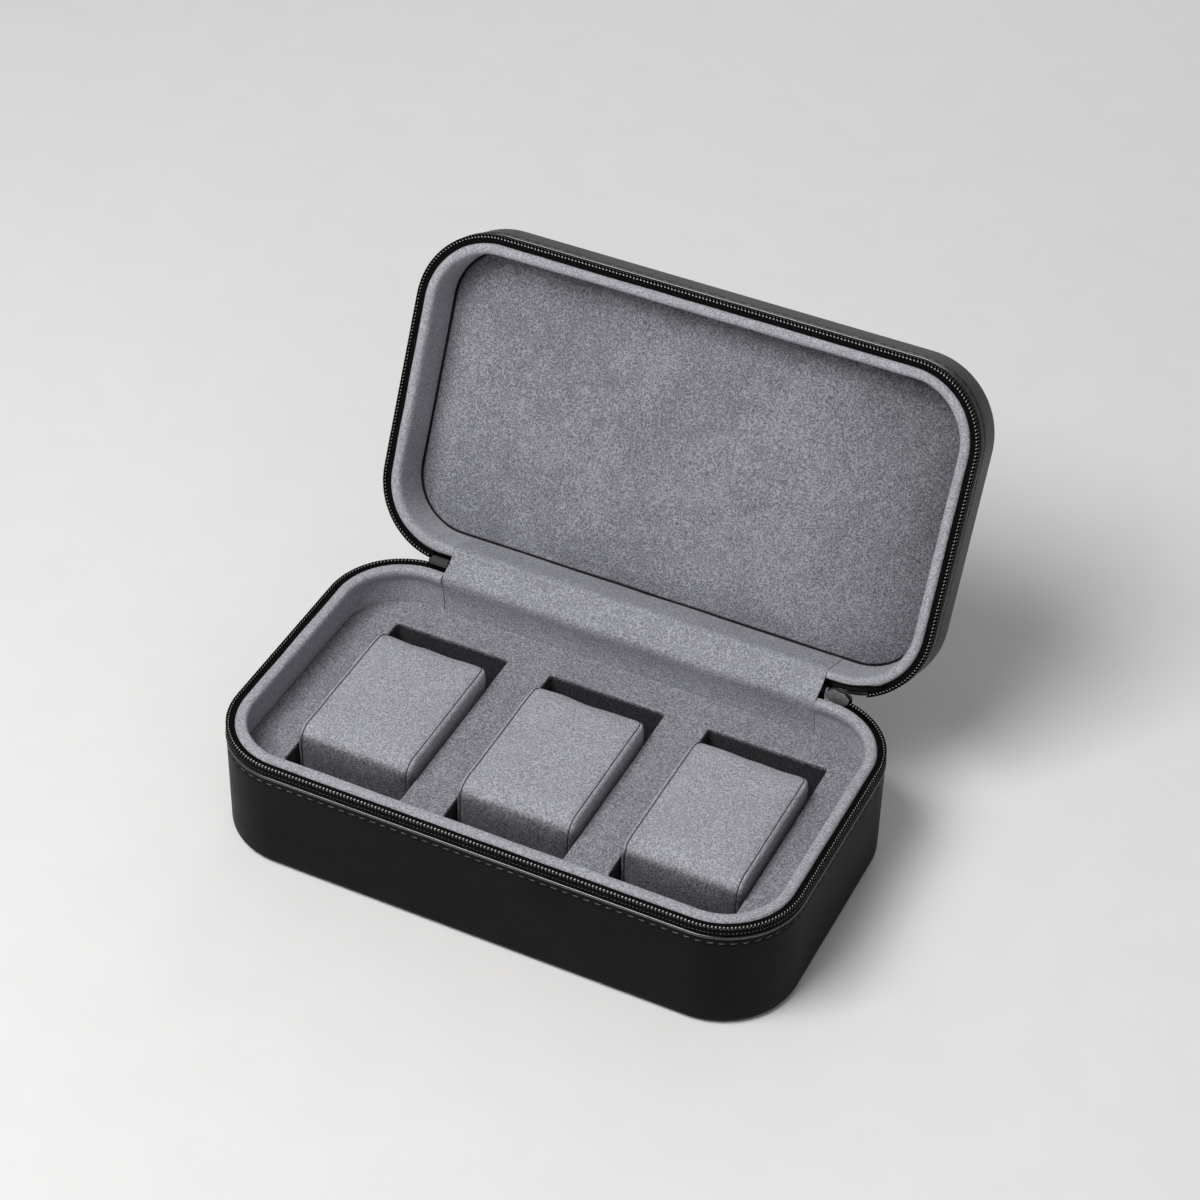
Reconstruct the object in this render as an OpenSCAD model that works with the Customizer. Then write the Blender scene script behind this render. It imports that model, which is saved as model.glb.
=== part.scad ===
// Travel case for three watches: a round-cornered base and a shallow lid joined by a
// flexible hinge along the back edge and closed by a zip round the other three sides.
// X runs left to right, Y front to back, Z up. The origin is the middle of the underside.
// The lid is drawn shut in its own modules and then leaned back to its open stop.

/* [Case] */
// Width of the case, left to right
case_w = 210; // [190:5:260]
// Depth of the case, front to back
case_d = 120; // [110:5:150]
// Height of the base, from the table to its rim
base_h = 45; // [40:1:60]
// Height of the lid, from its rim to its top
lid_h = 21.6; // [19:0.2:32]
// Radius of the four upright corners
corner_r = 28; // [22:1:34]
// Radius of the long edges underneath and on top
edge_r = 3; // [2.5:0.5:5]
// Angle of the open lid, from shut
lid_open = 114.5; // [90:0.5:120]

/* [Walls] */
// Thickness of the outer leather
leather_t = 1.1; // [0.9:0.1:1.4]
// Thickness of the stiffening board
board_t = 2.1; // [1.6:0.1:2.5]
// Thickness of the suede lining on the walls of the base
lining_t = 1.2; // [0.9:0.1:1.6]
// Thickness of the padded lining at the foot of the lid's walls
lid_lining_t = 3.6; // [3:0.1:4.4]
// Width of the padded roll along both rims
roll_w = 4.3; // [4:0.1:4.6]
// Inset of the padded roll from the outer face
roll_inset = 2.2; // [2.2:0.1:2.6]
// Gap between the two rims when the case is shut
rim_gap = 0.4; // [0.4:0.1:0.8]

/* [Zip] */
// Height of the bare tape between a rim and its leather edge
zip_reveal = 4.2; // [4.2:0.1:5]
// Height of the turned leather edge
binding_h = 1.3; // [1:0.1:2]
// Amount by which the turned edge stands proud of the leather
binding_proud = 0.25; // [0.15:0.05:0.4]
// Thickness of the zip tape
tape_t = 0.28; // [0.2:0.02:0.4]
// Depth of the zip tape below the rim
tape_h = 9; // [7:0.5:12]
// Distance from one zip tooth to the next
tooth_pitch = 1.3; // [1.2:0.1:2.4]
// Length of a tooth across the row
tooth_h = 2.9; // [2.4:0.1:3.2]
// Thickness of a tooth, from the tape outward
tooth_t = 0.8; // [0.6:0.05:0.85]
// Length of the row covered by the end tab
tab_l = 8; // [6:0.5:12]

/* [Slider] */
// Length of the slider along the row
slider_l = 9.6; // [8:0.2:12]
// Reach of the slider above the middle of the rim gap
slider_up = 3.5; // [3:0.1:3.6]
// Reach of the slider below the middle of the rim gap
slider_down = 3.6; // [3.3:0.1:3.9]
// Angle round the corner that the slider can travel
slider_travel = 8; // [4:1:12]
// Thickness of the pull
pull_t = 1; // [0.8:0.1:1.2]
// Width of the pull
pull_w = 5.4; // [4.4:0.2:7]
// Length of the pull, from its pin to its tip
pull_l = 20; // [14:1:26]
// Radius of the pull's pin
pin_r = 0.45; // [0.35:0.05:0.5]

/* [Hinge] */
// Length of the flexible hinge along the back edge
hinge_l = 144; // [120:2:150]
// Radius of the folded leather bead on the hinge line
fold_r = 0.8; // [0.6:0.1:1]
// Thickness of the suede strip that bridges the two rims
gusset_t = 0.7; // [0.5:0.1:0.9]

/* [Tray] */
// Depth of the tray's surface below the base's rim
tray_drop = 16; // [14:0.5:20]
// Thickness of the suede-covered sheet on top of the tray
tray_skin_t = 1.2; // [0.8:0.1:2]
// Distance from one pocket to the next
pocket_pitch = 61; // [58:0.5:63]
// Width of a pocket
pocket_w = 44.6; // [40:0.2:48]
// Length of a pocket, front to back
pocket_d = 80; // [74:1:84]
// Shift of the pockets towards the back
pocket_shift = 1; // [0:0.5:3]
// Radius of a pocket's corners
pocket_r = 1.2; // [1:0.2:5]
// Thickness of the tray's foam under a pocket
pocket_floor = 2; // [1.5:0.5:4]

/* [Cushions] */
// Length of a cushion, front to back
cushion_d = 59; // [54:1:64]
// Height of a cushion at its side seams
cushion_h = 30.4; // [28:0.2:36]
// Rise of a cushion's top between its side seams
cushion_crown = 0.8; // [0.4:0.1:2.6]
// Radius of a cushion's upper front edge
cushion_front_r = 6; // [4:0.5:10]
// Radius of a cushion's upper back edge
cushion_back_r = 4; // [3:0.5:10]
// Clearance of a cushion in its pocket, on each side
cushion_gap = 0.35; // [0.3:0.05:0.8]
// Thickness of a cushion's sewn side panel
side_t = 1.2; // [1:0.1:2]
// Space in the pocket in front of a cushion
cushion_front = 8; // [6:0.5:9]

/* [Lid pad] */
// Inset of the lid's padded panel from the outer face
pad_inset = 8; // [7.5:0.1:9]
// Thickness of the padded panel near its edge
pad_t = 1.3; // [1:0.1:1.8]
// Further rise of the padded panel towards its middle
pad_crown = 1; // [0.4:0.1:1.6]

/* [Hidden] */
$fn = 64;
leather = [0.10, 0.10, 0.11];
black = [0.05, 0.05, 0.05];
suede = [0.47, 0.48, 0.52];
pale_suede = [0.56, 0.57, 0.61];
board = [0.35, 0.32, 0.28];
foam = [0.28, 0.28, 0.30];
metal = [0.36, 0.36, 0.37];

pockets = 3;                                // one cushion and one pocket for each watch
fit = 0.05;                                 // working gap between glued layers
seat = 0.3;                                 // gap under a soft piece that lies loose
skin = 0.02;                                // gap between the tape and what it is sewn to
half_w = case_w / 2;
half_d = case_d / 2;
flat_x = half_w - corner_r;                 // half length of the straight front and back
flat_y = half_d - corner_r;                 // half length of the straight sides
hinge_room = 4;                             // straight left at each end of the hinge
hinge_x = min(hinge_l / 2, flat_x - hinge_room); // half length of the flexible hinge
pivot = [0, half_d, base_h + rim_gap / 2];
board_inset = leather_t + tape_t + fit;     // outer face of the board
wall_in = board_inset + board_t;            // inner face of the board
tray_z = base_h - tray_drop;
tray_inset = wall_in + fit + lining_t + fit;
floor_z = wall_in + fit;                    // underside of the tray's foam
pocket_z = floor_z + pocket_floor;
clear_r = 0.2;                              // gap that the turning lid keeps
tooth_top = 0.1;                            // top of a tooth below its rim
tooth_w = tooth_pitch * 0.56;               // width of a tooth along its row
web_t = tooth_t * 0.3;                      // thickness of the row between two teeth

// --- general shapes -----------------------------------------------------------------

// One straight run of a profile. X in the profile is 0 at the outer face, Y is depth.
module straight(angle, half, from, to)
    rotate([0, 0, angle])
        translate([half, to, 0])
            rotate([90, 0, 0])
                linear_extrude(to - from) children();

// One round corner of a profile, from angle a0 to a1 about the corner's upright axis.
module corner(sx, sy, a0, a1)
    translate([sx * flat_x, sy * flat_y, 0])
        rotate([0, 0, a0])
            rotate_extrude(angle = a1 - a0) translate([corner_r, 0]) children();

// The front, the two sides and the two front corners of a profile.
module three_sides() {
    straight(0, half_w, -flat_y, flat_y) children();
    straight(180, half_w, -flat_y, flat_y) children();
    straight(270, half_d, -flat_x, flat_x) children();
    corner(-1, -1, 180, 270) children();
    corner(1, -1, 270, 360) children();
}

// A profile swept all the way round.
module around() {
    three_sides() children();
    corner(1, 1, 0, 90) children();
    corner(-1, 1, 90, 180) children();
    straight(90, half_d, -flat_x, flat_x) children();
}

// A profile swept round all but the hinge.
module around_hinge() {
    three_sides() children();
    corner(1, 1, 0, 90) children();
    corner(-1, 1, 90, 180) children();
    straight(90, half_d, -flat_x, -hinge_x) children();
    straight(90, half_d, hinge_x, flat_x) children();
}

// A profile swept along the zip, which stops short of the back corners' ends.
module along_zip(left, right) {
    three_sides() children();
    corner(1, 1, 0, 90 - right) children();
    mirror([1, 0, 0]) corner(1, 1, 0, 90 - left) children();
}

// A profile swept along the hinge only.
module along_hinge()
    straight(90, half_d, -hinge_x, hinge_x) children();

// A block with round upright edges, centred: a cross of two bars and four quarter rounds.
module block(w, d, r, h) {
    x = w / 2 - r;
    y = d / 2 - r;
    translate([-x, -d / 2, 0]) cube([2 * x, d, h]);
    translate([-w / 2, -y, 0]) cube([w, 2 * y, h]);
    for (c = [[1, 1, 0], [-1, 1, 90], [-1, -1, 180], [1, -1, 270]])
        translate([c[0] * x, c[1] * y, 0])
            rotate([0, 0, c[2]])
                rotate_extrude(angle = 90) square([r, h]);
}

// A slab of the case's own outline, inset all round.
module slab(inset, z, h)
    translate([0, 0, z])
        block(case_w - 2 * inset, case_d - 2 * inset, corner_r - inset, h);

// --- places: a rim part is drawn with its rim at zero and its depth upward -----------

module in_base()
    translate([0, 0, base_h]) mirror([0, 0, 1]) children();

module in_lid()
    translate(pivot)
        rotate([-lid_open, 0, 0])
            translate([0, -half_d, rim_gap / 2]) children();

// --- parts shared by the base and the lid --------------------------------------------

// An open pan with a round lower edge, inset from the outer faces.
module pan(inset, wall, top, depth) {
    outer = edge_r - inset;
    around() {
        translate([-inset - wall, top]) square([wall, depth - edge_r - top]);
        translate([-edge_r, depth - edge_r])
            intersection() {
                difference() {
                    circle(outer);
                    if (outer > wall) circle(outer - wall);
                }
                square([outer, outer]);
            }
    }
    slab(edge_r, depth - inset - wall, wall);
}

module cover(depth)
    pan(0, leather_t, zip_reveal + binding_h, depth);

module board_pan(depth)
    pan(board_inset, board_t, zip_reveal + fit, depth);

// The turned leather edge, a narrow band with a rounded face.
module binding()
    around_hinge()
        translate([-leather_t, zip_reveal])
            polygon([
                [0, 0],
                [leather_t, 0],
                [leather_t + binding_proud, binding_h * 0.25],
                [leather_t + binding_proud, binding_h * 0.75],
                [leather_t, binding_h],
                [0, binding_h]
            ]);

module tape(left, right)
    along_zip(left, right)
        translate([-leather_t - tape_t, tooth_top])
            square([tape_t - skin, tape_h]);

// A point of the zip's path at distance s from the front of the left side, moved in by a.
function path_point(s, a) =
    let (
        quarter = PI * corner_r / 2,
        side = 2 * flat_y,
        front = 2 * flat_x,
        s1 = side,
        s2 = s1 + quarter,
        s3 = s2 + front,
        s4 = s3 + quarter,
        s5 = s4 + side,
        r = corner_r - a
    )
    s < 0 ? [-flat_x - r * cos(-s / corner_r * 180 / PI), flat_y + r * sin(-s / corner_r * 180 / PI)]
    : s < s1 ? [-half_w + a, flat_y - s]
    : s < s2 ? let (q = 180 + (s - s1) / corner_r * 180 / PI)
        [-flat_x + r * cos(q), -flat_y + r * sin(q)]
    : s < s3 ? [-flat_x + s - s2, -half_d + a]
    : s < s4 ? let (q = 270 + (s - s3) / corner_r * 180 / PI)
        [flat_x + r * cos(q), -flat_y + r * sin(q)]
    : s < s5 ? [half_w - a, -flat_y + s - s4]
    : let (q = (s - s5) / corner_r * 180 / PI)
        [flat_x + r * cos(q), flat_y + r * sin(q)];

// A row of zip teeth: one comb, cut by the same path as the tape it stands on.
module teeth(left, right, shift) {
    arc = PI * corner_r / 180;
    total = 4 * flat_y + 2 * flat_x + PI * corner_r;
    start = -(90 - left) * arc + shift * tooth_pitch;
    end = total + (90 - right) * arc - tooth_pitch;
    count = floor((end - start) / tooth_pitch);
    inner = leather_t;
    web = leather_t - web_t;
    outer = leather_t - tooth_t;
    ridge = [
        for (i = [0:count - 1], k = [0:3])
            path_point(
                start + i * tooth_pitch + (k == 0 || k == 1 ? 0 : tooth_w),
                k == 1 || k == 2 ? outer : web
            )
    ];
    spine = [for (i = [count:-1:0]) path_point(start + i * tooth_pitch, inner)];
    translate([0, 0, tooth_top])
        linear_extrude(tooth_h) polygon(concat(ridge, spine));
}

// The padded roll that finishes a rim, with the lining that hangs from it.
module rim_profile(foot_in, foot_t, depth) {
    r = roll_w / 2;
    translate([-roll_inset - r, r]) circle(r);
    polygon([
        [-roll_inset - r, r],
        [-wall_in - fit, roll_w],
        [-wall_in - fit, depth],
        [-wall_in - fit - foot_t, depth],
        [-wall_in - fit - foot_t, foot_in],
        [-roll_inset - roll_w, r]
    ]);
}

module base_lining_profile()
    rim_profile(tray_drop, lining_t, base_h - floor_z);

module lid_lining_profile()
    rim_profile(lid_h - wall_in - pad_t, lid_lining_t, lid_h - wall_in - fit);

// A strip of the leather hinge beside the folded bead.
module spine_strip()
    along_hinge()
        translate([-leather_t, fold_r + clear_r - rim_gap / 2])
            square([leather_t, zip_reveal + binding_h - fold_r - clear_r + rim_gap / 2]);

// --- base ----------------------------------------------------------------------------

module base_cover()
    color(leather) in_base() cover(base_h);

module base_board()
    color(board) in_base() board_pan(base_h);

module base_binding()
    color(leather) in_base() binding();

module base_tape()
    color(black) in_base() tape(tab_turn, 0);

module base_teeth()
    color(black) in_base() teeth(tab_turn, 0, 0);

module base_lining()
    color(suede) in_base() around_hinge() base_lining_profile();

module hinge_liner_lower()
    color(suede) in_base() along_hinge() base_lining_profile();

module hinge_spine_lower()
    color(leather) in_base() spine_strip();

// --- tray ----------------------------------------------------------------------------

function pocket_x(i) = (i - (pockets - 1) / 2) * pocket_pitch;

module pocket_cuts()
    for (i = [0:pockets - 1])
        translate([pocket_x(i), pocket_shift, pocket_z])
            block(pocket_w, pocket_d, pocket_r, base_h);

module tray_foam()
    color(foam)
        difference() {
            slab(tray_inset, floor_z, tray_z - tray_skin_t - floor_z);
            pocket_cuts();
        }

module tray_top()
    color(suede)
        difference() {
            slab(tray_inset, tray_z - tray_skin_t, tray_skin_t);
            pocket_cuts();
        }

// --- cushions ------------------------------------------------------------------------

cushion_half = pocket_w / 2 - cushion_gap;  // half width over the side panels
side_draw = 2 * side_t;                     // how far a side panel's outline is drawn in
seam_x = cushion_half - side_t;             // the seam between wrap and side panel
cushion_y = pocket_shift - pocket_d / 2 + cushion_front;
arc_steps = 7;

// Points round the side view of a cushion, pushed out by puff and in by draw.
function cushion_loop(x, puff, draw) =
    let (
        lo = draw,
        hi = cushion_h - draw + puff,
        y0 = draw - puff / 2,
        y1 = cushion_d - draw + puff / 2,
        front = cushion_front_r - draw / 2,
        back = cushion_back_r - draw / 2
    )
    concat(
        [for (k = [0:arc_steps]) let (q = 180 - 90 * k / arc_steps)
            [x, y0 + front + front * cos(q), hi - front + front * sin(q)]],
        [for (k = [1:3]) [x, y0 + front + (y1 - y0 - front - back) * k / 4, hi]],
        [for (k = [0:arc_steps]) let (q = 90 - 90 * k / arc_steps)
            [x, y1 - back + back * cos(q), hi - back + back * sin(q)]],
        [for (k = [0:arc_steps]) let (q = -90 * k / arc_steps)
            [x, y1 - back + back * cos(q), lo + back + back * sin(q)]],
        [for (k = [0:arc_steps]) let (q = 270 - 90 * k / arc_steps)
            [x, y0 + back + back * cos(q), lo + back + back * sin(q)]]
    );

// A closed solid through loops of equal length.
module loft(loops) {
    n = len(loops[0]);
    m = len(loops);
    polyhedron(
        points = [for (l = loops) for (p = l) p],
        faces = concat(
            [[for (k = [n - 1:-1:0]) k]],
            [for (j = [0:m - 2], k = [0:n - 1])
                let (a = j * n + k, b = j * n + (k + 1) % n)
                [a, b, b + n]],
            [for (j = [0:m - 2], k = [0:n - 1])
                let (a = j * n + k, b = j * n + (k + 1) % n)
                [a, b + n, a + n]],
            [[for (k = [0:n - 1]) (m - 1) * n + k]]
        ),
        convexity = 4
    );
}

module at_cushion(i)
    translate([pocket_x(i), cushion_y, pocket_z + seat]) children();

// The wrap over the front, top and back, crowned between its two seams.
module cushion_wrap(i) {
    steps = 12;
    color(pale_suede)
        at_cushion(i)
            loft([
                for (j = [0:steps])
                    let (u = 2 * j / steps - 1)
                    cushion_loop(u * seam_x, cushion_crown * (1 - u * u), 0)
            ]);
}

// A sewn side panel: flat against the wrap and slightly domed outside.
module cushion_side(i, side) {
    steps = 4;
    loops = [
        for (j = [0:steps])
            let (q = 90 * j / steps)
            cushion_loop(seam_x + side_t * sin(q), 0, side_draw * (1 - cos(q)))
    ];
    color(suede)
        at_cushion(i)
            if (side > 0) loft(loops);
            else mirror([1, 0, 0]) loft(loops);
}

// --- hinge ---------------------------------------------------------------------------

// The folded leather bead that the lid turns about.
module hinge_fold()
    color(leather)
        translate(pivot)
            rotate([0, 90, 0])
                cylinder(r = fold_r, h = 2 * hinge_x, center = true);

// The suede strip that bridges the two rims of the open case, in a shallow valley.
module hinge_gusset() {
    reach = roll_inset + roll_w / 2;
    rise = rim_gap / 2 + seat;
    turn = 180 - lid_open;
    from = [-reach, rise];
    to = [reach * cos(turn) - rise * sin(turn), reach * sin(turn) + rise * cos(turn)];
    sag = 0.45;
    low = sag * (from + to) / 2;
    steps = 10;
    function bend(u, lift) =
        (1 - u) * (1 - u) * from + 2 * u * (1 - u) * low + u * u * to
        + lift * [-sin(turn / 2), cos(turn / 2)];
    color(suede)
        translate(pivot)
            rotate([90, 0, 90])
                linear_extrude(2 * hinge_x, center = true)
                    polygon(concat(
                        [for (k = [0:steps]) bend(k / steps, 0)],
                        [for (k = [steps:-1:0]) bend(k / steps, gusset_t)]
                    ));
}

// --- zip ends and slider -------------------------------------------------------------

row_r = corner_r - leather_t - tape_t;      // radius of the tape's inner face at a corner
tab_turn = max(0, asin((hinge_x + fit + tab_l + fit - flat_x) / row_r));
tab_up = 1.4;                               // height of the end tab above the rim gap
slider_x = hinge_x + 1.7;                   // inner end of the slider
slider_turn = asin((slider_x + slider_l - flat_x) / corner_r);
leg_gap = 0.15;                             // gap between the tape and what stands behind it
leg_in = leather_t + tape_t + leg_gap;      // inner leg, behind the tape
leg_t = 0.5;
crest_in = 1.3;                             // inset of the slider's top edge
face_out = 0.9;                             // outer leg, in front of the teeth
tip_l = 2.2;                                // length of the slider's pointed ends
tip_h = 2.1;                                // height over which they narrow
bay_d = norm([slider_up, crest_in]) + clear_r; // bay in the lid's roll that clears the slider
bay_turn = slider_turn + slider_travel + 1.2; // end of the bay, with 1.2 degrees to spare

// The sewn tab that covers the left end of the zip.
module zip_tab() {
    x = -hinge_x - fit - tab_l;
    low = base_h - zip_reveal + fit;
    color(black)
        translate([x, half_d - leather_t - tape_t, low])
            cube([tab_l, leather_t + tape_t - leg_gap, pivot[2] + tab_up - low]);
}

// The slider's section: a channel that rides over the base's row of teeth.
module slider_section(legs) {
    top = slider_up;
    down = -slider_down;
    polygon([
        [face_out, down],
        [-fit, down],
        [-fit, -fit],
        [-leg_in, -fit],
        if (legs) [-leg_in, down],
        if (legs) [-leg_in - leg_t, down],
        if (!legs) [-leg_in - leg_t, -fit],
        [-leg_in - leg_t, top * 0.45],
        [-crest_in, top],
        [face_out, top]
    ]);
}

module slider_body() {
    end = slider_x + slider_l;
    low = pivot[2] - slider_down;
    high = pivot[2] + slider_up;
    color(metal)
        intersection() {
            translate([0, 0, pivot[2]]) {
                straight(90, half_d, -flat_x, -slider_x) slider_section(false);
                corner(1, 1, 90 - slider_turn - 2, 90) slider_section(true);
            }
            translate([0, half_d + 5, 0])
                rotate([90, 0, 0])
                    linear_extrude(12)
                        polygon([
                            [slider_x, low + tip_h],
                            [slider_x + tip_l, low],
                            [end - tip_l, low],
                            [end, low + tip_h],
                            [end, high - tip_h],
                            [end - tip_l, high],
                            [slider_x + tip_l, high],
                            [slider_x, high - tip_h]
                        ]);
        }
}

pin_out = 1.5;                              // distance of the pin from the slider's face
pin_at = [flat_x + 0.5, half_d + face_out + pin_out, pivot[2] - 1.5];
bail_w = 5;
bail_t = 0.8;                               // thickness of each cheek of the bail
bail_h = 1.2;
eye_r = 1.2;
eye_w = 3.2;                                // width of the pull at its eye
eye_gap = 0.25;                             // slack of the eye on its pin
neck_l = 3;
shoulder_l = 7;                             // distance from the pin to the pull's full width
slot_w = 1.8;
slot_l = 7;

// The small bail on the slider's outer face that holds the pull.
module slider_bail()
    color(metal) {
        translate(pin_at)
            rotate([0, 90, 0]) cylinder(r = pin_r, h = bail_w, center = true);
        for (x = [-bail_w / 2, bail_w / 2 - bail_t])
            translate([pin_at[0] + x, half_d + face_out, pin_at[2] - bail_h / 2])
                cube([bail_t, pin_out + bail_h / 2, bail_h]);
    }

// The pull: an eye on the pin and a flat tongue with a slot.
module slider_pull()
    color(metal)
        translate(pin_at)
            difference() {
                union() {
                    rotate([0, 90, 0]) cylinder(r = eye_r, h = eye_w, center = true);
                    rotate([90, 0, 0])
                        linear_extrude(pull_t, center = true)
                            difference() {
                                union() {
                                    translate([-eye_w / 2, -neck_l]) square([eye_w, neck_l]);
                                    translate([0, -pull_l + pull_w / 2]) circle(pull_w / 2);
                                    polygon([
                                        [-eye_w / 2, -neck_l],
                                        [eye_w / 2, -neck_l],
                                        [pull_w / 2, -shoulder_l],
                                        [pull_w / 2, -pull_l + pull_w / 2],
                                        [-pull_w / 2, -pull_l + pull_w / 2],
                                        [-pull_w / 2, -shoulder_l]
                                    ]);
                                }
                                translate([-slot_w / 2, -pull_l + pull_w / 2])
                                    square([slot_w, slot_l]);
                            }
                }
                rotate([0, 90, 0])
                    cylinder(r = pin_r + eye_gap, h = eye_w + 1, center = true);
            }

// --- lid -----------------------------------------------------------------------------

module lid_cover()
    color(leather) in_lid() cover(lid_h);

module lid_board()
    color(board) in_lid() board_pan(lid_h);

module lid_binding()
    color(leather) in_lid() binding();

module lid_tape()
    color(black) in_lid() tape(tab_turn, bay_turn);

module lid_teeth()
    color(black) in_lid() teeth(tab_turn, bay_turn, 0.5);

// The same lining where the slider rests: its roll gives way to a bay.
module bay_lining_profile()
    difference() {
        lid_lining_profile();
        translate([-bay_d, -1]) square([bay_d + 1, zip_reveal + 1]);
    }

module lid_lining()
    color(suede)
        in_lid() {
            three_sides() lid_lining_profile();
            corner(-1, 1, 90, 180) lid_lining_profile();
            straight(90, half_d, hinge_x, flat_x) lid_lining_profile();
            corner(1, 1, 0, 90 - bay_turn) lid_lining_profile();
            corner(1, 1, 0, 90) bay_lining_profile();
            straight(90, half_d, -flat_x, -hinge_x) bay_lining_profile();
        }

module hinge_liner_upper()
    color(suede) in_lid() along_hinge() lid_lining_profile();

module hinge_spine_upper()
    color(leather) in_lid() spine_strip();

// Points of a round-cornered outline at one depth.
function outline(w, d, r, z) = [
    for (c = [[1, 1, 0], [-1, 1, 90], [-1, -1, 180], [1, -1, 270]], k = [0:8])
        let (q = c[2] + 90 * k / 8)
        [c[0] * (w / 2 - r) + r * cos(q), c[1] * (d / 2 - r) + r * sin(q), z]
];

// The padded panel inside the lid, tucked in round its edge and crowned in its middle.
module lid_pad() {
    floor = lid_h - wall_in - fit;
    w = case_w - 2 * pad_inset;
    d = case_d - 2 * pad_inset;
    r = corner_r - pad_inset;
    steps = 8;
    edge = 1.6;                             // width over which the panel's edge rounds up
    start = 0.15;                           // share of the edge that stands upright
    function rise(in) = pad_t * min(1, sqrt(in / edge + start));
    color(suede)
        in_lid()
            loft(concat(
                [outline(w, d, r, floor)],
                [for (j = [0:steps])
                    let (u = j / steps, in = (r - 1) * u * u)
                    outline(
                        w - 2 * in, d - 2 * in, r - in,
                        floor - rise(in) - pad_crown * sin(90 * u)
                    )]
            ));
}

// --- nodes ---------------------------------------------------------------------------

base_cover();
base_board();
base_binding();
base_tape();
base_teeth();
base_lining();
tray_foam();
tray_top();
hinge_liner_lower();
hinge_spine_lower();
hinge_fold();
hinge_gusset();
zip_tab();
slider_body();
slider_bail();
slider_pull();
cushion_wrap(0);  // cushion_1_wrap
cushion_side(0, -1);  // cushion_1_left
cushion_side(0, 1);  // cushion_1_right
cushion_wrap(1);  // cushion_2_wrap
cushion_side(1, -1);  // cushion_2_left
cushion_side(1, 1);  // cushion_2_right
cushion_wrap(2);  // cushion_3_wrap
cushion_side(2, -1);  // cushion_3_left
cushion_side(2, 1);  // cushion_3_right
lid_cover();
lid_board();
lid_binding();
lid_tape();
lid_teeth();
lid_lining();
hinge_liner_upper();
hinge_spine_upper();
lid_pad();
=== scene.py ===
"""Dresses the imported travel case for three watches, in metres and in the model's own frame.

The case is a leather base and a shallow leather lid, joined by a suede-lined hinge and
closed by a zip. Rim pieces are drawn unrolled, as distance along the rim, inset from the
outer face and depth below the rim, and are then wrapped round the case's outline.
"""

import logging
import math
from dataclasses import dataclass, replace
from enum import Enum
from typing import Iterator, Sequence

import bmesh
import bpy
from bmesh.types import BMEdge, BMesh, BMVert
from mathutils import Matrix, Vector, noise


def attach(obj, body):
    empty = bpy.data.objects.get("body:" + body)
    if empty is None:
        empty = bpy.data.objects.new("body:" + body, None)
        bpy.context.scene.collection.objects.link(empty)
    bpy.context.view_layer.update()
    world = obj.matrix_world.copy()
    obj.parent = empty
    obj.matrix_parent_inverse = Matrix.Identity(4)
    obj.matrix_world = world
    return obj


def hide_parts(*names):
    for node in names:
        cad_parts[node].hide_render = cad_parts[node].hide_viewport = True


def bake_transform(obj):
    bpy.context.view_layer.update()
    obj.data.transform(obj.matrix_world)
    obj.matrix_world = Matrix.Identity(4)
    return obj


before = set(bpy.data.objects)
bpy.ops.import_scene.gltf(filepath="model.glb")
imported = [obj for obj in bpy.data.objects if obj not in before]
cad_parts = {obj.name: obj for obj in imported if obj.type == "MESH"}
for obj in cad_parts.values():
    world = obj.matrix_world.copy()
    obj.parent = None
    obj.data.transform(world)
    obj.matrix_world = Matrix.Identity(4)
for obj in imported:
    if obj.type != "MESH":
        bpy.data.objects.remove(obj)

log = logging.getLogger("travel_case")
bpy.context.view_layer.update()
MM = 0.001
TO_METRES = Matrix.Scale(MM, 4)
CLOTH_SCALE = 10
CLOTH_FRAMES = 20

Point = tuple[float, float]
Colour = tuple[float, float, float]


# --- sizes


@dataclass(frozen=True)
class CaseSizes:
    """The case's shared sizes, in millimetres."""

    width: float = 210.0
    depth: float = 120.0
    base_h: float = 45.0
    lid_h: float = 21.6
    corner: float = 28.0
    edge: float = 3.0
    opened: float = 114.5
    rim_gap: float = 0.4
    leather: float = 1.1
    hinge_x: float = 72.0
    tab: float = 8.0
    tray_z: float = 29.0
    tooth_pitch: float = 1.3

    @property
    def pivot(self) -> Vector:
        """The middle of the line that the lid turns about."""
        return Vector((0.0, self.depth / 2, self.base_h + self.rim_gap / 2))


CASE = CaseSizes()


class Half(Enum):
    """The two halves of the case. Each value is the name of the body that it rides on."""

    BASE = "case_base"
    LID = "lid"

    @property
    def label(self) -> str:
        """The word that starts the names of this half's pieces."""
        return self.name.lower()

    @property
    def height(self) -> float:
        """The depth of this half below its rim, in millimetres."""
        return CASE.base_h if self is Half.BASE else CASE.lid_h

    @property
    def place(self) -> Matrix:
        """Takes millimetres below this half's rim to metres in the row's frame."""
        if self is Half.BASE:
            flip = Matrix.Scale(-1.0, 4, Vector((0, 0, 1)))
            return TO_METRES @ Matrix.Translation((0, 0, CASE.base_h)) @ flip
        turn = Matrix.Rotation(math.radians(-CASE.opened), 4, "X")
        back = Matrix.Translation((0, -CASE.depth / 2, CASE.rim_gap / 2))
        return TO_METRES @ Matrix.Translation(CASE.pivot) @ turn @ back


# --- the outline


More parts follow.
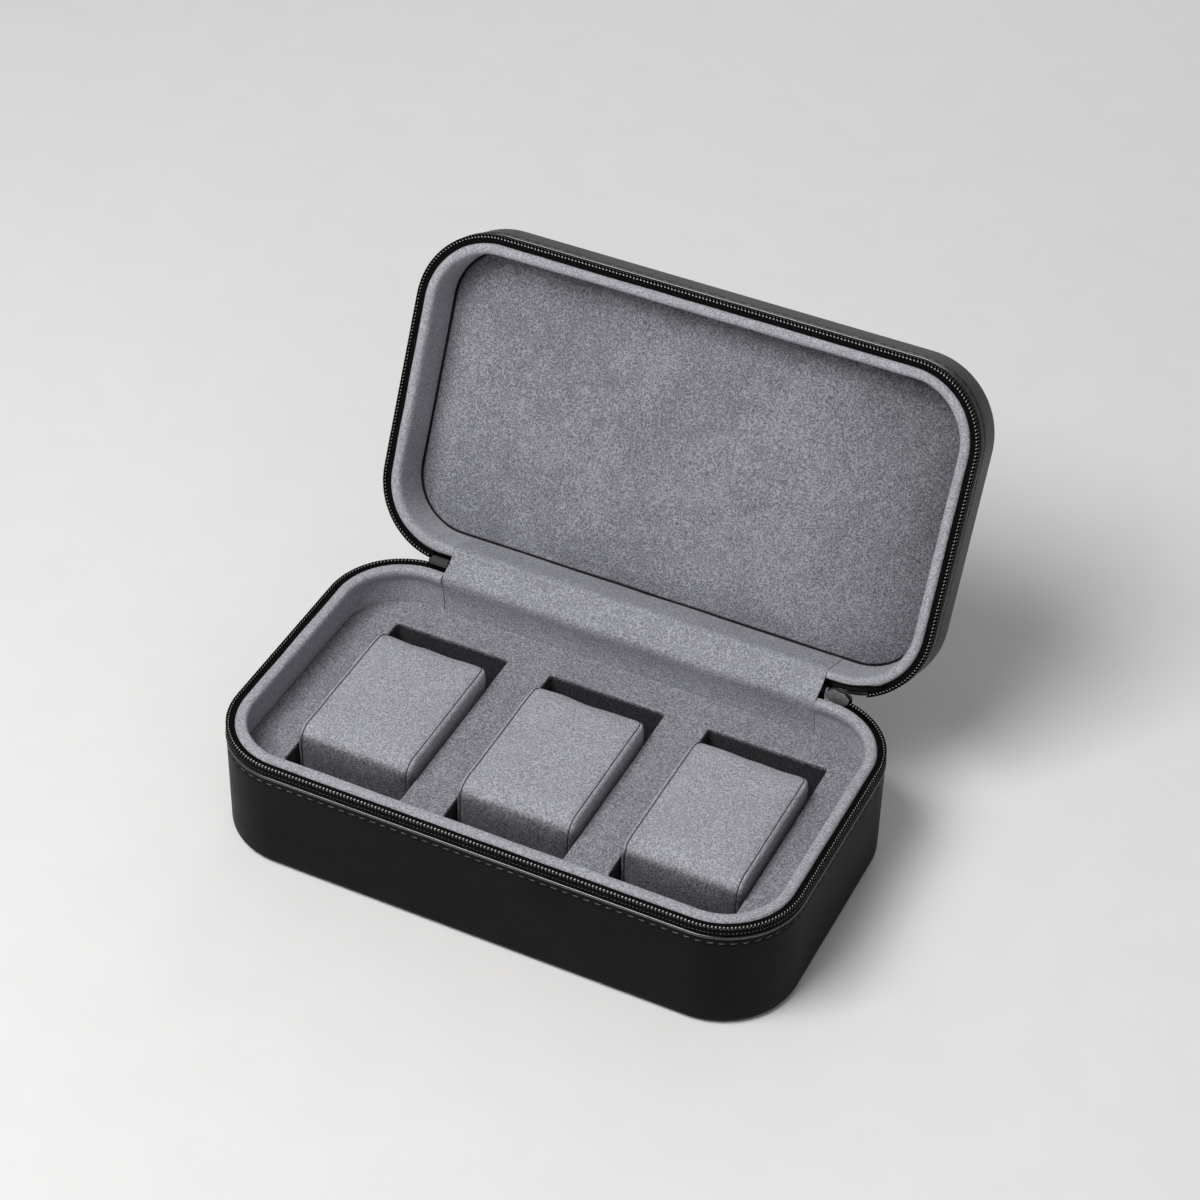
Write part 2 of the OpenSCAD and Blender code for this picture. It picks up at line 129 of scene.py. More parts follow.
@dataclass(frozen=True)
class Outline:
    """The case's round-cornered outline, walked from the middle of the back to the left."""

    half_w: float = CASE.width / 2
    half_d: float = CASE.depth / 2
    radius: float = CASE.corner

    @property
    def flat_x(self) -> float:
        """Half the straight length of the front and the back."""
        return self.half_w - self.radius

    @property
    def flat_y(self) -> float:
        """Half the straight length of the sides."""
        return self.half_d - self.radius

    @property
    def length(self) -> float:
        """The whole way round."""
        return 4 * (self.flat_x + self.flat_y) + 2 * math.pi * self.radius

    def stretches(self) -> Iterator[tuple[float, bool]]:
        """Yields the length of each stretch and whether it turns, from the back's right end."""
        quarter = math.pi * self.radius / 2
        for flat in (self.flat_x, self.flat_y, self.flat_x, self.flat_y):
            yield 2 * flat, False
            yield quarter, True
        yield 2 * self.flat_x, False

    def at(self, distance: float) -> Matrix:
        """Finds the frame of a point of the outline.

        Args:
            distance: The way from the middle of the back, in millimetres, to the left.

        Returns:
            A matrix whose X runs along the outline, Y inward and Z along the depth.
        """
        spot = Matrix(((-1, 0, 0, self.flat_x), (0, -1, 0, self.half_d), (0, 0, 1, 0), (0, 0, 0, 1)))
        left = distance + self.flat_x
        for length, turns in self.stretches():
            part = min(left, length)
            if turns:
                axis = Matrix.Translation((0, self.radius, 0))
                turn = Matrix.Rotation(part / self.radius, 4, "Z")
                spot = spot @ axis @ turn @ axis.inverted()
            else:
                spot = spot @ Matrix.Translation((part, 0, 0))
            left -= part
            if left <= 0:
                break
        return spot

    def stations(self, start: float, end: float, step: float = 6.0, turn: float = 2.4) -> list[float]:
        """Lists where a swept piece needs a ring of points.

        Args:
            start: Where the piece starts.
            end: Where it ends.
            step: The longest space between rings on a straight stretch.
            turn: The longest space between rings round a corner.

        Returns:
            Distances along the outline, in order.
        """
        marks = [start]
        here = -self.flat_x
        for length, turns in self.stretches():
            low, high = max(start, here), min(end, here + length)
            if high > low:
                count = max(1, math.ceil((high - low) / (turn if turns else step)))
                marks += [low + (high - low) * k / count for k in range(1, count + 1)]
            here += length
        return marks

    def wrap(self, mesh: BMesh) -> None:
        """Moves an unrolled piece's points, from along, inset and depth, to their places."""
        found: dict[float, Matrix] = {}
        for vert in mesh.verts:
            along = vert.co.x
            if along not in found:
                found[along] = self.at(along)
            vert.co = found[along] @ Vector((0.0, vert.co.y, vert.co.z))


OUTLINE = Outline()


# --- section curves


def arc(centre: Point, radius: float, start: float, end: float, steps: int = 6) -> list[Point]:
    """Lists points of an arc, with its ends.

    Args:
        centre: The middle of the arc.
        radius: Its radius.
        start: The angle it starts at, in degrees.
        end: The angle it ends at.
        steps: The number of chords.

    Returns:
        The points, in order.
    """
    angles = [math.radians(start + (end - start) * k / steps) for k in range(steps + 1)]
    return [(centre[0] + radius * math.cos(q), centre[1] + radius * math.sin(q)) for q in angles]


def smooth(points: Sequence[Point], steps: int = 5) -> list[Point]:
    """Runs a soft curve through points.

    Args:
        points: The points it passes, with its ends.
        steps: The number of chords between two of them.

    Returns:
        The curve's points, in order.
    """
    ends = [points[0], *points, points[-1]]
    curve: list[Point] = []
    for a, b, c, d in zip(ends, ends[1:], ends[2:], ends[3:]):
        for k in range(steps):
            t = k / steps
            curve.append(
                tuple(
                    0.5 * (
                        2 * q + (r - p) * t + (2 * p - 5 * q + 4 * r - s) * t**2
                        + (3 * q - p - 3 * r + s) * t**3
                    )
                    for p, q, r, s in zip(a, b, c, d)
                )
            )
    curve.append(points[-1])
    return curve


def ease(value: float) -> float:
    """Turns a share from 0 to 1 into one with soft ends."""
    value = min(1.0, max(0.0, value))
    return value * value * (3 - 2 * value)


# --- building


def points_of(geometry: Sequence[object]) -> list[BMVert]:
    """Picks the points out of an operator's result."""
    return [part for part in geometry if isinstance(part, BMVert)]


def edges_of(geometry: Sequence[object]) -> list[BMEdge]:
    """Picks the edges out of an operator's result."""
    return [part for part in geometry if isinstance(part, BMEdge)]


def pairs(loop: Sequence[BMVert]) -> Iterator[tuple[BMVert, BMVert]]:
    """Pairs each point of a closed loop with the next."""
    return zip(loop, [*loop[1:], loop[0]])


def ring_of(mesh: BMesh, loop: Sequence[BMVert]) -> list[BMEdge]:
    """Finds the edges of a closed loop of points."""
    return [mesh.edges.get(pair) for pair in pairs(loop)]


def drawn(mesh: BMesh, spots: Sequence[Sequence[float]]) -> tuple[list[BMVert], list[BMEdge]]:
    """Adds a closed loop and returns its points and its edges."""
    verts = [mesh.verts.new(spot) for spot in spots]
    return verts, [mesh.edges.new(pair) for pair in pairs(verts)]


def bridged(mesh: BMesh, here: Sequence[BMVert], there: Sequence[BMVert]) -> None:
    """Closes the band between two loops of points."""
    bmesh.ops.bridge_loops(mesh, edges=ring_of(mesh, here) + ring_of(mesh, there))


def open_edges(mesh: BMesh) -> list[BMEdge]:
    """Lists the edges with a face on one side only."""
    return [e for e in mesh.edges if len(e.link_faces) == 1]


def extruded(mesh: BMesh, edges: Sequence[BMEdge], move: Sequence[float]) -> list[BMEdge]:
    """Pulls edges out into faces and returns the edges at the far side."""
    grown = bmesh.ops.extrude_edge_only(mesh, edges=edges)["geom"]
    moved = points_of(grown)
    bmesh.ops.translate(mesh, verts=moved, vec=move)
    return [e for e in edges_of(grown) if all(v in moved for v in e.verts)]


def rounded(
    mesh: BMesh, edges: Sequence[BMEdge], offset: float, segments: int = 2, clamp: bool = True
) -> list[BMVert]:
    """Rounds edges over.

    Args:
        mesh: The mesh, changed in place.
        edges: The edges.
        offset: How far the rounding reaches from each.
        segments: The number of faces across it.
        clamp: Whether it stops where two roundings meet.

    Returns:
        The points of the rounding.
    """
    return bmesh.ops.bevel(
        mesh, geom=edges, offset=offset, offset_type="OFFSET", segments=segments, profile=0.5,
        affect="EDGES", material=-1, clamp_overlap=clamp,
    )["verts"]


def turned(mesh: BMesh, degrees: float, axis: str, centre: Point = (0.0, 0.0)) -> None:
    """Turns a whole mesh about an axis through a centre, given as its Y and Z."""
    turn = Matrix.Rotation(math.radians(degrees), 3, axis)
    bmesh.ops.rotate(mesh, verts=mesh.verts, cent=(0, *centre), matrix=turn)


def shown(name: str, data: bpy.types.ID) -> bpy.types.Object:
    """Makes an object of its data and puts it in the scene."""
    made = bpy.data.objects.new(name, data)
    bpy.context.scene.collection.objects.link(made)
    return made


def swept(section: Sequence[Point], marks: Sequence[float], ring: bool = False) -> BMesh:
    """Sweeps a closed section along the unrolled outline.

    Args:
        section: Inset and depth of each point of the section, in order.
        marks: The distances along the outline that get a ring of points.
        ring: Whether the piece goes all the way round and so has no ends.

    Returns:
        The unrolled mesh.
    """
    mesh = bmesh.new()
    verts, edges = drawn(mesh, [(marks[0], inset, depth) for inset, depth in section])
    if not ring:
        mesh.faces.new(verts)
    for here, there in zip(marks, marks[1:]):
        edges = extruded(mesh, edges, (there - here, 0, 0))
    if not ring:
        bmesh.ops.edgeloop_fill(mesh, edges=edges)
    return mesh


def repeated(mesh: BMesh, count: int, pitch: float) -> None:
    """Repeats a mesh along X.

    Args:
        mesh: The mesh, changed in place.
        count: How many times it shows.
        pitch: The distance from one to the next.
    """
    each = len(mesh.verts)
    made = 1
    while made < count:
        more = min(made, count - made)
        mesh.verts.ensure_lookup_table()
        kept = set(mesh.verts[: each * more])
        unit = [part for part in (*mesh.edges, *mesh.faces) if kept.issuperset(part.verts)]
        copy = bmesh.ops.duplicate(mesh, geom=[*kept, *unit])["geom"]
        bmesh.ops.translate(mesh, verts=points_of(copy), vec=(made * pitch, 0, 0))
        made += more


def wobble(mesh: BMesh, size: float, amount: float, seed: float = 0.0) -> None:
    """Moves a mesh's points in and out a little, as hand-laid fabric lies.

    Args:
        mesh: The mesh, changed in place.
        size: The width of a swell, in the mesh's own unit.
        amount: How far a point may move, in the same unit.
        seed: Sets one piece apart from the next.
    """
    mesh.normal_update()
    moves = {v: v.normal * amount * noise.noise(v.co / size + Vector((seed, seed, seed))) for v in mesh.verts}
    for vert, move in moves.items():
        vert.co += move


def puffed(mesh: BMesh, held: Sequence[BMVert], rise: float) -> None:
    """Blows a closed mesh up from inside with Cloth, at ten times its size, and keeps the result.

    Args:
        mesh: The closed mesh, in millimetres, changed in place.
        held: The points that the sewing and the board hold still.
        rise: The furthest that a point may move, in millimetres.
    """
    mesh.verts.index_update()
    data = bpy.data.meshes.new("stuffing")
    mesh.to_mesh(data)
    data.transform(Matrix.Scale(CLOTH_SCALE * MM, 4))
    body = shown("stuffing", data)
    scene = bpy.context.scene
    body.vertex_groups.new(name="held").add([vert.index for vert in held], 1.0, "REPLACE")
    cloth = body.modifiers.new("cloth", "CLOTH")
    cloth.settings.use_pressure = True
    cloth.settings.uniform_pressure_force = 4.0
    cloth.settings.effector_weights.gravity = 0.0
    cloth.settings.vertex_group_mass = "held"
    cloth.settings.quality = 5
    cloth.point_cache.frame_end = CLOTH_FRAMES
    for frame_number in range(1, CLOTH_FRAMES + 1):
        scene.frame_set(frame_number)
    solved = body.evaluated_get(bpy.context.evaluated_depsgraph_get())
    shape = solved.to_mesh()
    furthest = 0.0
    for vert, swollen in zip(mesh.verts, shape.vertices):
        move = swollen.co / (CLOTH_SCALE * MM) - vert.co
        furthest = max(furthest, move.length)
        vert.co += move * min(1.0, rise / max(move.length, 1e-9))
    solved.to_mesh_clear()
    bpy.data.objects.remove(body)
    bpy.data.meshes.remove(data)
    scene.frame_set(1)
    log.info("cloth: %d points, furthest %.2f mm", len(mesh.verts), furthest)


def cord(path: Sequence[Vector], sideways: Vector, radius: float) -> BMesh:
    """Lays a thin round thread along a closed path that lies flat in one plane.

    Args:
        path: The path's points, in order.
        sideways: The way out of the path's plane.
        radius: The thread's radius.

    Returns:
        The thread's mesh.
    """
    mesh = bmesh.new()
    rings = []
    for before, here, after in zip([path[-1], *path], path, [*path[1:], path[0]]):
        out = (after - before).normalized().cross(sideways)
        turns = [math.tau * k / 5 for k in range(5)]
        spots = [here + (sideways * math.cos(q) + out * math.sin(q)) * radius for q in turns]
        rings.append(drawn(mesh, spots)[0])
    for here, there in pairs(rings):
        bridged(mesh, here, there)
    return mesh


def piece(
    name: str,
    mesh: BMesh,
    finish: "Finish",
    place: Matrix,
    stands_for: Sequence[str] = (),
    sharp: float = 50.0,
) -> bpy.types.Object:
    """Turns a mesh into a finished object at the origin.

    Args:
        name: The piece's name.
        mesh: Its shape, freed here.
        finish: Its finish.
        place: Takes the mesh to metres in the row's frame.
        stands_for: The model's nodes that the piece is shown in place of.
        sharp: The angle past which an edge stays sharp, in degrees.

    Returns:
        The object, which rides on nothing yet.
    """
    bmesh.ops.remove_doubles(mesh, verts=mesh.verts, dist=1e-4)
    bmesh.ops.transform(mesh, matrix=place, verts=mesh.verts)
    bmesh.ops.recalc_face_normals(mesh, faces=mesh.faces)
    for face in mesh.faces:
        face.smooth = True
    for edge in mesh.edges:
        edge.smooth = len(edge.link_faces) == 2 and edge.calc_face_angle() < math.radians(sharp)
    data = bpy.data.meshes.new(name)
    mesh.to_mesh(data)
    mesh.free()
    made = shown(name, data)
    data.materials.append(finish.material)
    if stands_for:
        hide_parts(*stands_for)
    log.info("%s: %d faces", name, len(data.polygons))
    return made


# --- finishes


class Signal:
    """A shader socket that Python expressions can use."""

    def __init__(self, graph: "Graph", socket: bpy.types.NodeSocket) -> None:
        """Keeps the socket and the graph that it belongs to."""
        self.graph = graph
        self.socket = socket

    def _maths(self, operation: str, first: "Value", second: "Value") -> "Signal":
        """Adds one Math node."""
        return self.graph.node("ShaderNodeMath", {"operation": operation}, {0: first, 1: second})

    def __add__(self, other: "Value") -> "Signal":
        """Adds."""
        return self._maths("ADD", self, other)

    def __sub__(self, other: "Value") -> "Signal":
        """Subtracts."""
        return self._maths("SUBTRACT", self, other)

    def __mul__(self, other: "Value") -> "Signal":
        """Multiplies."""
        return self._maths("MULTIPLY", self, other)

    __radd__ = __add__
    __rmul__ = __mul__

    def swing(self) -> "Signal":
        """Turns a rising value into waves between 0 and 1."""
        return self._maths("SINE", self, 0.0) * 0.5 + 0.5

    def between(self, low: float, high: float) -> "Signal":
        """Maps low to 0 and high to 1, with soft ends."""
        sockets = {"Value": self, "From Min": low, "From Max": high}
        return self.graph.node("ShaderNodeMapRange", {"interpolation_type": "SMOOTHSTEP"}, sockets)


Value = Signal | float | Colour


class Graph:
    """The nodes of one material."""

    def __init__(self, name: str) -> None:
        """Starts an empty material."""
        self.material = bpy.data.materials.new(name)
        self.material.use_nodes = True
        self.material.node_tree.nodes.clear()

    def node(
        self,
        kind: str,
        settings: dict[str, object] | None = None,
        sockets: dict[str | int, Value] | None = None,
        output: str | int = 0,
    ) -> Signal:
        """Adds a node.

        Args:
            kind: The node's type.
            settings: Its own settings, or a ramp's stops, set first.
            sockets: What its sockets hold or are linked from.
            output: The socket that comes back.

        Returns:
            That socket.
        """
        made = self.material.node_tree.nodes.new(kind)
        for key, value in (settings or {}).items():
            setattr(made, key, value)
        for key, value in (sockets or {}).items():
            if isinstance(value, Signal):
                self.material.node_tree.links.new(value.socket, made.inputs[key])
            elif isinstance(value, tuple) and len(made.inputs[key].default_value) == 4:
                made.inputs[key].default_value = (*value, 1.0)
            else:
                made.inputs[key].default_value = value
        return Signal(self, made.outputs[output])

    def place(self) -> Signal:
        """Reads the place on the object, in metres."""
        return self.node("ShaderNodeTexCoord", output="Object")

    def noise(self, scale: float, detail: float = 2.0, distortion: float = 0.0) -> Signal:
        """Adds a noise from 0 to 1 that reads the place on the object.

        Args:
            scale: Features to a metre.
            detail: How many finer layers it has.
            distortion: How much it swirls.

        Returns:
            The noise's value.
        """
        sockets = {"Vector": self.place(), "Scale": scale, "Detail": detail, "Distortion": distortion}
        return self.node("ShaderNodeTexNoise", None, sockets)

    def vectors(self, operation: str, sockets: dict[str | int, Value], output: str | int = 0) -> Signal:
        """Adds one Vector Math node."""
        return self.node("ShaderNodeVectorMath", {"operation": operation}, sockets, output)

    def along(self, way: Colour) -> Signal:
        """Measures the place on the object along a direction, in metres."""
        return self.vectors("DOT_PRODUCT", {0: self.place(), 1: way}, "Value")

    def painted(self, name: str) -> Signal:
        """Reads a share that the mesh carries at each point."""
        return self.node("ShaderNodeAttribute", {"attribute_name": name}, None, "Fac")

    def mix(self, share: Value, first: Value, second: Value) -> Signal:
        """Mixes two colours by a share."""
        return self.node("ShaderNodeMix", {"data_type": "RGBA"}, {0: share, 6: first, 7: second}, 2)

    def bump(self, height: Signal, depth: float) -> Signal:
        """Turns a height from 0 to 1 into a normal, for a relief of that depth in metres."""
        return self.node("ShaderNodeBump", None, {"Height": height, "Distance": depth, "Strength": 1.0})

    def surface(self, **sockets: Value) -> bpy.types.Material:
        """Ends the graph in a Principled shader whose sockets are given by name, with _ for a space."""
        named = {key.replace("_", " "): value for key, value in sockets.items()}
        return self.finished(self.node("ShaderNodeBsdfPrincipled", None, named))

    def finished(self, shader: Signal) -> bpy.types.Material:
        """Links a shader to the material's output and returns the material."""
        end = self.material.node_tree.nodes.new("ShaderNodeOutputMaterial")
        self.material.node_tree.links.new(shader.socket, end.inputs["Surface"])
        return self.material


class Finish:
    """A surface finish, whose material is made once and shared."""

    _made: dict["Finish", bpy.types.Material] = {}

    def build(self) -> bpy.types.Material:
        """Makes the material."""
        raise NotImplementedError

    @property
    def material(self) -> bpy.types.Material:
        """The finish's material."""
        if self not in Finish._made:
            Finish._made[self] = self.build()
        return Finish._made[self]


@dataclass(frozen=True)
class PaintedShade:
    """A stretch of suede with painted shade: its colour goes darker where less light falls.

    The stretch starts and ends at two distances, in metres, along a direction in the frame.
    """

    way: Colour
    start: float
    end: float
    share: float
    ragged: float = 0.001


@dataclass(frozen=True)
class Suede(Finish):
    """Brushed suede: a fine curly nap, soft clouds and stretches of painted shade."""

    name: str
    light: Colour
    dark: Colour
    clouds: float = 0.22
    curl: float = 1.25
    painted_shades: tuple[PaintedShade, ...] = ()
    # Shares of the light colour that the painted shade goes down to.
    turned: Point = (0.34, 0.12)

    def painted_shade_colour(self, share: float) -> Colour:
        """Gives a darker copy of the light colour, for painted shade."""
        return tuple(tone * share for tone in self.light)

    def build(self) -> bpy.types.Material:
        """Makes the suede."""
        graph = Graph(self.name)
        curls = (graph.noise(1050.0, 0.5, 0.4) * 21.0).swing()
        clouds = graph.noise(42.0, 4.0, 0.3) * 0.6 + graph.noise(190.0, 2.0, 0.5) * 0.4
        pile = graph.noise(2300.0, 2.0, 0.6)
        shade = (curls - 0.5) * self.curl + clouds.between(0.36, 0.64) * self.clouds + pile * 0.18 + 0.27
        colour = graph.mix(shade, self.light, self.dark)
        # Painted shade: each zone mixes the colour towards a darker copy along a direction.
        for shade_zone in self.painted_shades:
            rough = graph.noise(750.0, 2.0, 1.0) - 0.5
            reach = (graph.along(shade_zone.way) + rough * (2 * shade_zone.ragged)).between(shade_zone.start, shade_zone.end)
            colour = graph.mix(reach * shade_zone.share, colour, graph.mix(shade, *map(self.painted_shade_colour, self.turned)))
        return graph.surface(
            Base_Color=colour,
            Roughness=0.95,
            Normal=graph.bump(curls * 0.7 + pile * 0.3, 0.00007),
            Sheen_Weight=0.14,
            Sheen_Roughness=0.45,
            Sheen_Tint=(0.80, 0.81, 0.88),
            Specular_IOR_Level=0.12,
        )


@dataclass(frozen=True)
class TwoTone(Finish):
    """A finish whose colour drifts to a second one, where it is rubbed, raised or fibrous."""

    name: str
    colour: Colour
    second: Colour


@dataclass(frozen=True)
class Leather(TwoTone):
    """Fine-grained leather with a soft shine, smoother where it is turned over an edge."""

    roughness: float = 0.46
    grain: float = 0.00006
    shine: float = 0.05

    def build(self) -> bpy.types.Material:
        """Makes the leather."""
        graph = Graph(self.name)
        spot = graph.place()
        drift = graph.node("ShaderNodeTexNoise", None, {"Vector": spot, "Scale": 500.0}, "Color")
        bent = graph.vectors("ADD", {0: spot, 1: graph.vectors("SCALE", {0: drift, "Scale": 0.0007})})
        cells = {"Vector": bent, "Scale": 1250.0}
        pebbles = graph.node("ShaderNodeTexVoronoi", {"feature": "DISTANCE_TO_EDGE"}, cells)
        creases = pebbles.between(0.0, 0.16)
        cloudy = graph.noise(38.0, 3.0, 0.4)
        fine = graph.noise(4200.0, 2.0)
        colour = graph.mix((cloudy * 0.7 + fine * 0.3).between(0.3, 0.7), self.colour, self.second)
        rough = cloudy * 0.14 + fine * 0.10 + (self.roughness - 0.12)
        return graph.surface(
            Base_Color=colour,
            Roughness=rough,
            Normal=graph.bump(creases * 0.8 + fine * 0.2, self.grain),
            Specular_IOR_Level=self.shine,
        )


@dataclass(frozen=True)
class Weave(TwoTone):
    """Closely woven tape, with ribs that run up and down and fine cross threads."""

    ribs: float = 2600.0
    shine: float = 0.3

    def build(self) -> bpy.types.Material:
        """Makes the weave."""
        graph = Graph(self.name)
        bands = {"Vector": graph.place(), "Scale": self.ribs / 6.28, "Distortion": 0.6}
        threads = graph.node("ShaderNodeTexWave", {"bands_direction": "DIAGONAL"}, bands)
        fuzz = graph.noise(3000.0, 2.0)
        height = threads * 0.7 + fuzz * 0.3
        return graph.surface(
            Base_Color=graph.mix(height, self.colour, self.second),
            Roughness=0.72 + fuzz * 0.15,
            Normal=graph.bump(height, 0.00008),
            Specular_IOR_Level=self.shine,
        )


@dataclass(frozen=True)
class Nylon(TwoTone):
    """Smooth moulded nylon, as on the zip's coil and its sewing thread."""

    roughness: float = 0.28
    painted_head_highlight: Colour | None = None

    def build(self) -> bpy.types.Material:
        """Makes the nylon, with a painted highlight on its heads where the mesh carries the head share."""
        graph = Graph(self.name)
        haze = graph.noise(900.0, 3.0)
        colour = graph.mix(haze.between(0.35, 0.75), self.colour, self.second)
        if self.painted_head_highlight:
            # Painted highlight: the colour goes pale on the coil's heads.
            colour = graph.mix(graph.painted("head") * (haze * 0.8 + 0.5), colour, self.painted_head_highlight)
        return graph.surface(
            Base_Color=colour,
            Roughness=self.roughness - 0.06 + haze * 0.12,
            Normal=graph.bump(graph.noise(3500.0, 2.0), 0.00002),
        )


@dataclass(frozen=True)
class Metal(TwoTone):
    """Cast and plated metal with a faint tumbled texture and rubbed patches."""

    roughness: float = 0.3
    metallic: float = 1.0

    def build(self) -> bpy.types.Material:
        """Makes the metal."""
        graph = Graph(self.name)
        tumbled = graph.noise(700.0, 3.0, 0.4)
        return graph.surface(
            Base_Color=graph.mix(tumbled.between(0.4, 0.8), self.colour, self.second),
            Metallic=self.metallic,
            Roughness=self.roughness - 0.08 + tumbled * 0.16,
            Normal=graph.bump(tumbled, 0.00002),
        )


@dataclass(frozen=True)
class Board(TwoTone):
    """Grey pressed board or cut foam, speckled with fibres."""

    def build(self) -> bpy.types.Material:
        """Makes the board."""
        graph = Graph(self.name)
        fibres = graph.noise(800.0, 4.0, 1.2)
        return graph.surface(
            Base_Color=graph.mix(fibres.between(0.4, 0.65), self.colour, self.second),
            Roughness=0.9,
            Normal=graph.bump(fibres, 0.0001),
        )


SUEDE = Suede("wall_suede", light=(0.385, 0.387, 0.420), dark=(0.190, 0.192, 0.212))
ROLL_SUEDE = Suede("rim_suede", light=(0.430, 0.432, 0.466), dark=(0.245, 0.247, 0.270))
# Painted shade: the pocket walls go darker below the tray's top.
TRAY_SUEDE = Suede(
    "tray_suede_painted_shade", light=(0.330, 0.332, 0.362), dark=(0.150, 0.152, 0.170), clouds=0.30,
    painted_shades=(PaintedShade((0.0, 0.0, -1.0), -0.0290, -0.0270, 1.0, 0.0014),), turned=(0.14, 0.05),
)
# Painted shade: the pad goes darker towards its right end and its top, as in the shadow of the lid's walls.
PAD_SUEDE = Suede(
    "pad_suede_painted_shade", light=(0.338, 0.340, 0.372), dark=(0.142, 0.144, 0.162), clouds=0.42,
    painted_shades=(
        PaintedShade((1.0, 0.0, 0.15), 0.050, 0.122, 0.60, 0.012),
        PaintedShade((0.0, 0.42, 0.91), 0.135, 0.180, 0.22, 0.008),
    ),
)
# Painted shade: each cushion goes darker over its front and low on its sides, down in the pocket.
CUSHION_SUEDE = Suede(
    "cushion_suede_painted_shade", light=(0.425, 0.427, 0.460), dark=(0.225, 0.227, 0.248), clouds=0.18,
    painted_shades=(
        PaintedShade((0.0, -0.8, -0.6), 0.0026, 0.0058, 0.88, 0.0012),
        PaintedShade((0.0, 0.0, -1.0), -0.0345, -0.0300, 0.80, 0.0010),
    ),
)
SEAM_THREAD = Nylon("seam_thread", colour=(0.028, 0.028, 0.034), second=(0.055, 0.055, 0.064), roughness=0.6)
LEATHER = Leather("case_leather", colour=(0.0056, 0.0058, 0.0062), second=(0.0092, 0.0095, 0.0100))
LID_LEATHER = replace(LEATHER, name="lid_leather", roughness=0.38, shine=0.20)
TURNED_EDGE = Leather(
    "turned_edge", colour=(0.010, 0.010, 0.011), second=(0.026, 0.026, 0.027),
    roughness=0.24, grain=0.000004, shine=0.9,
)
STITCH = Nylon("stitch_thread", colour=(0.012, 0.012, 0.013), second=(0.130, 0.130, 0.135), roughness=0.45)
TAPE = Weave("zip_tape", colour=(0.0012, 0.0012, 0.0014), second=(0.0040, 0.0040, 0.0044), shine=0.06)
TAB = Weave("zip_end_tab", colour=(0.026, 0.026, 0.026), second=(0.058, 0.058, 0.058))
# The coil's pale heads are a painted highlight.
COIL = Nylon(
    "zip_coil", colour=(0.005, 0.005, 0.006), second=(0.011, 0.011, 0.012),
    roughness=0.22, painted_head_highlight=(0.62, 0.62, 0.60),
)
# The sewing thread is real; its pale grey is a painted highlight for the rows of glints along the coil.
COIL_THREAD_HIGHLIGHT = Nylon("coil_thread", colour=(0.070, 0.070, 0.070), second=(0.260, 0.260, 0.255), roughness=0.35)
GUNMETAL = Metal("gunmetal", colour=(0.36, 0.36, 0.37), second=(0.52, 0.52, 0.53))
SATIN_METAL = Metal(
    "satin_metal", colour=(0.17, 0.17, 0.173), second=(0.27, 0.27, 0.274), roughness=0.36, metallic=0.4,
)
BOARD = Board("lining_board", colour=(0.005, 0.005, 0.005), second=(0.010, 0.010, 0.010))


# --- leather


@dataclass(frozen=True)
class RimPart:
    """Pieces that run along one half's rim and ride on it."""

    half: Half

    def hang(
        self, what: str, mesh: BMesh, finish: Finish, slot: str, node: str = "", sharp: float = 50.0
    ) -> None:
        """Finishes a wrapped mesh and hangs it on this half.

        Args:
            what: The end of the piece's name.
            mesh: Its shape.
            finish: Its finish.
            slot: The name of its material slot; not used.
            node: The end of the name of the node that it is shown in place of, if it is.
            sharp: The angle past which an edge stays sharp, in degrees.
        """
        label = self.half.label
        nodes = [f"{label}_{node}"] if node else []
        made = piece(f"{label}_{what}", mesh, finish, self.half.place, nodes, sharp)
        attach(made, self.half.value)


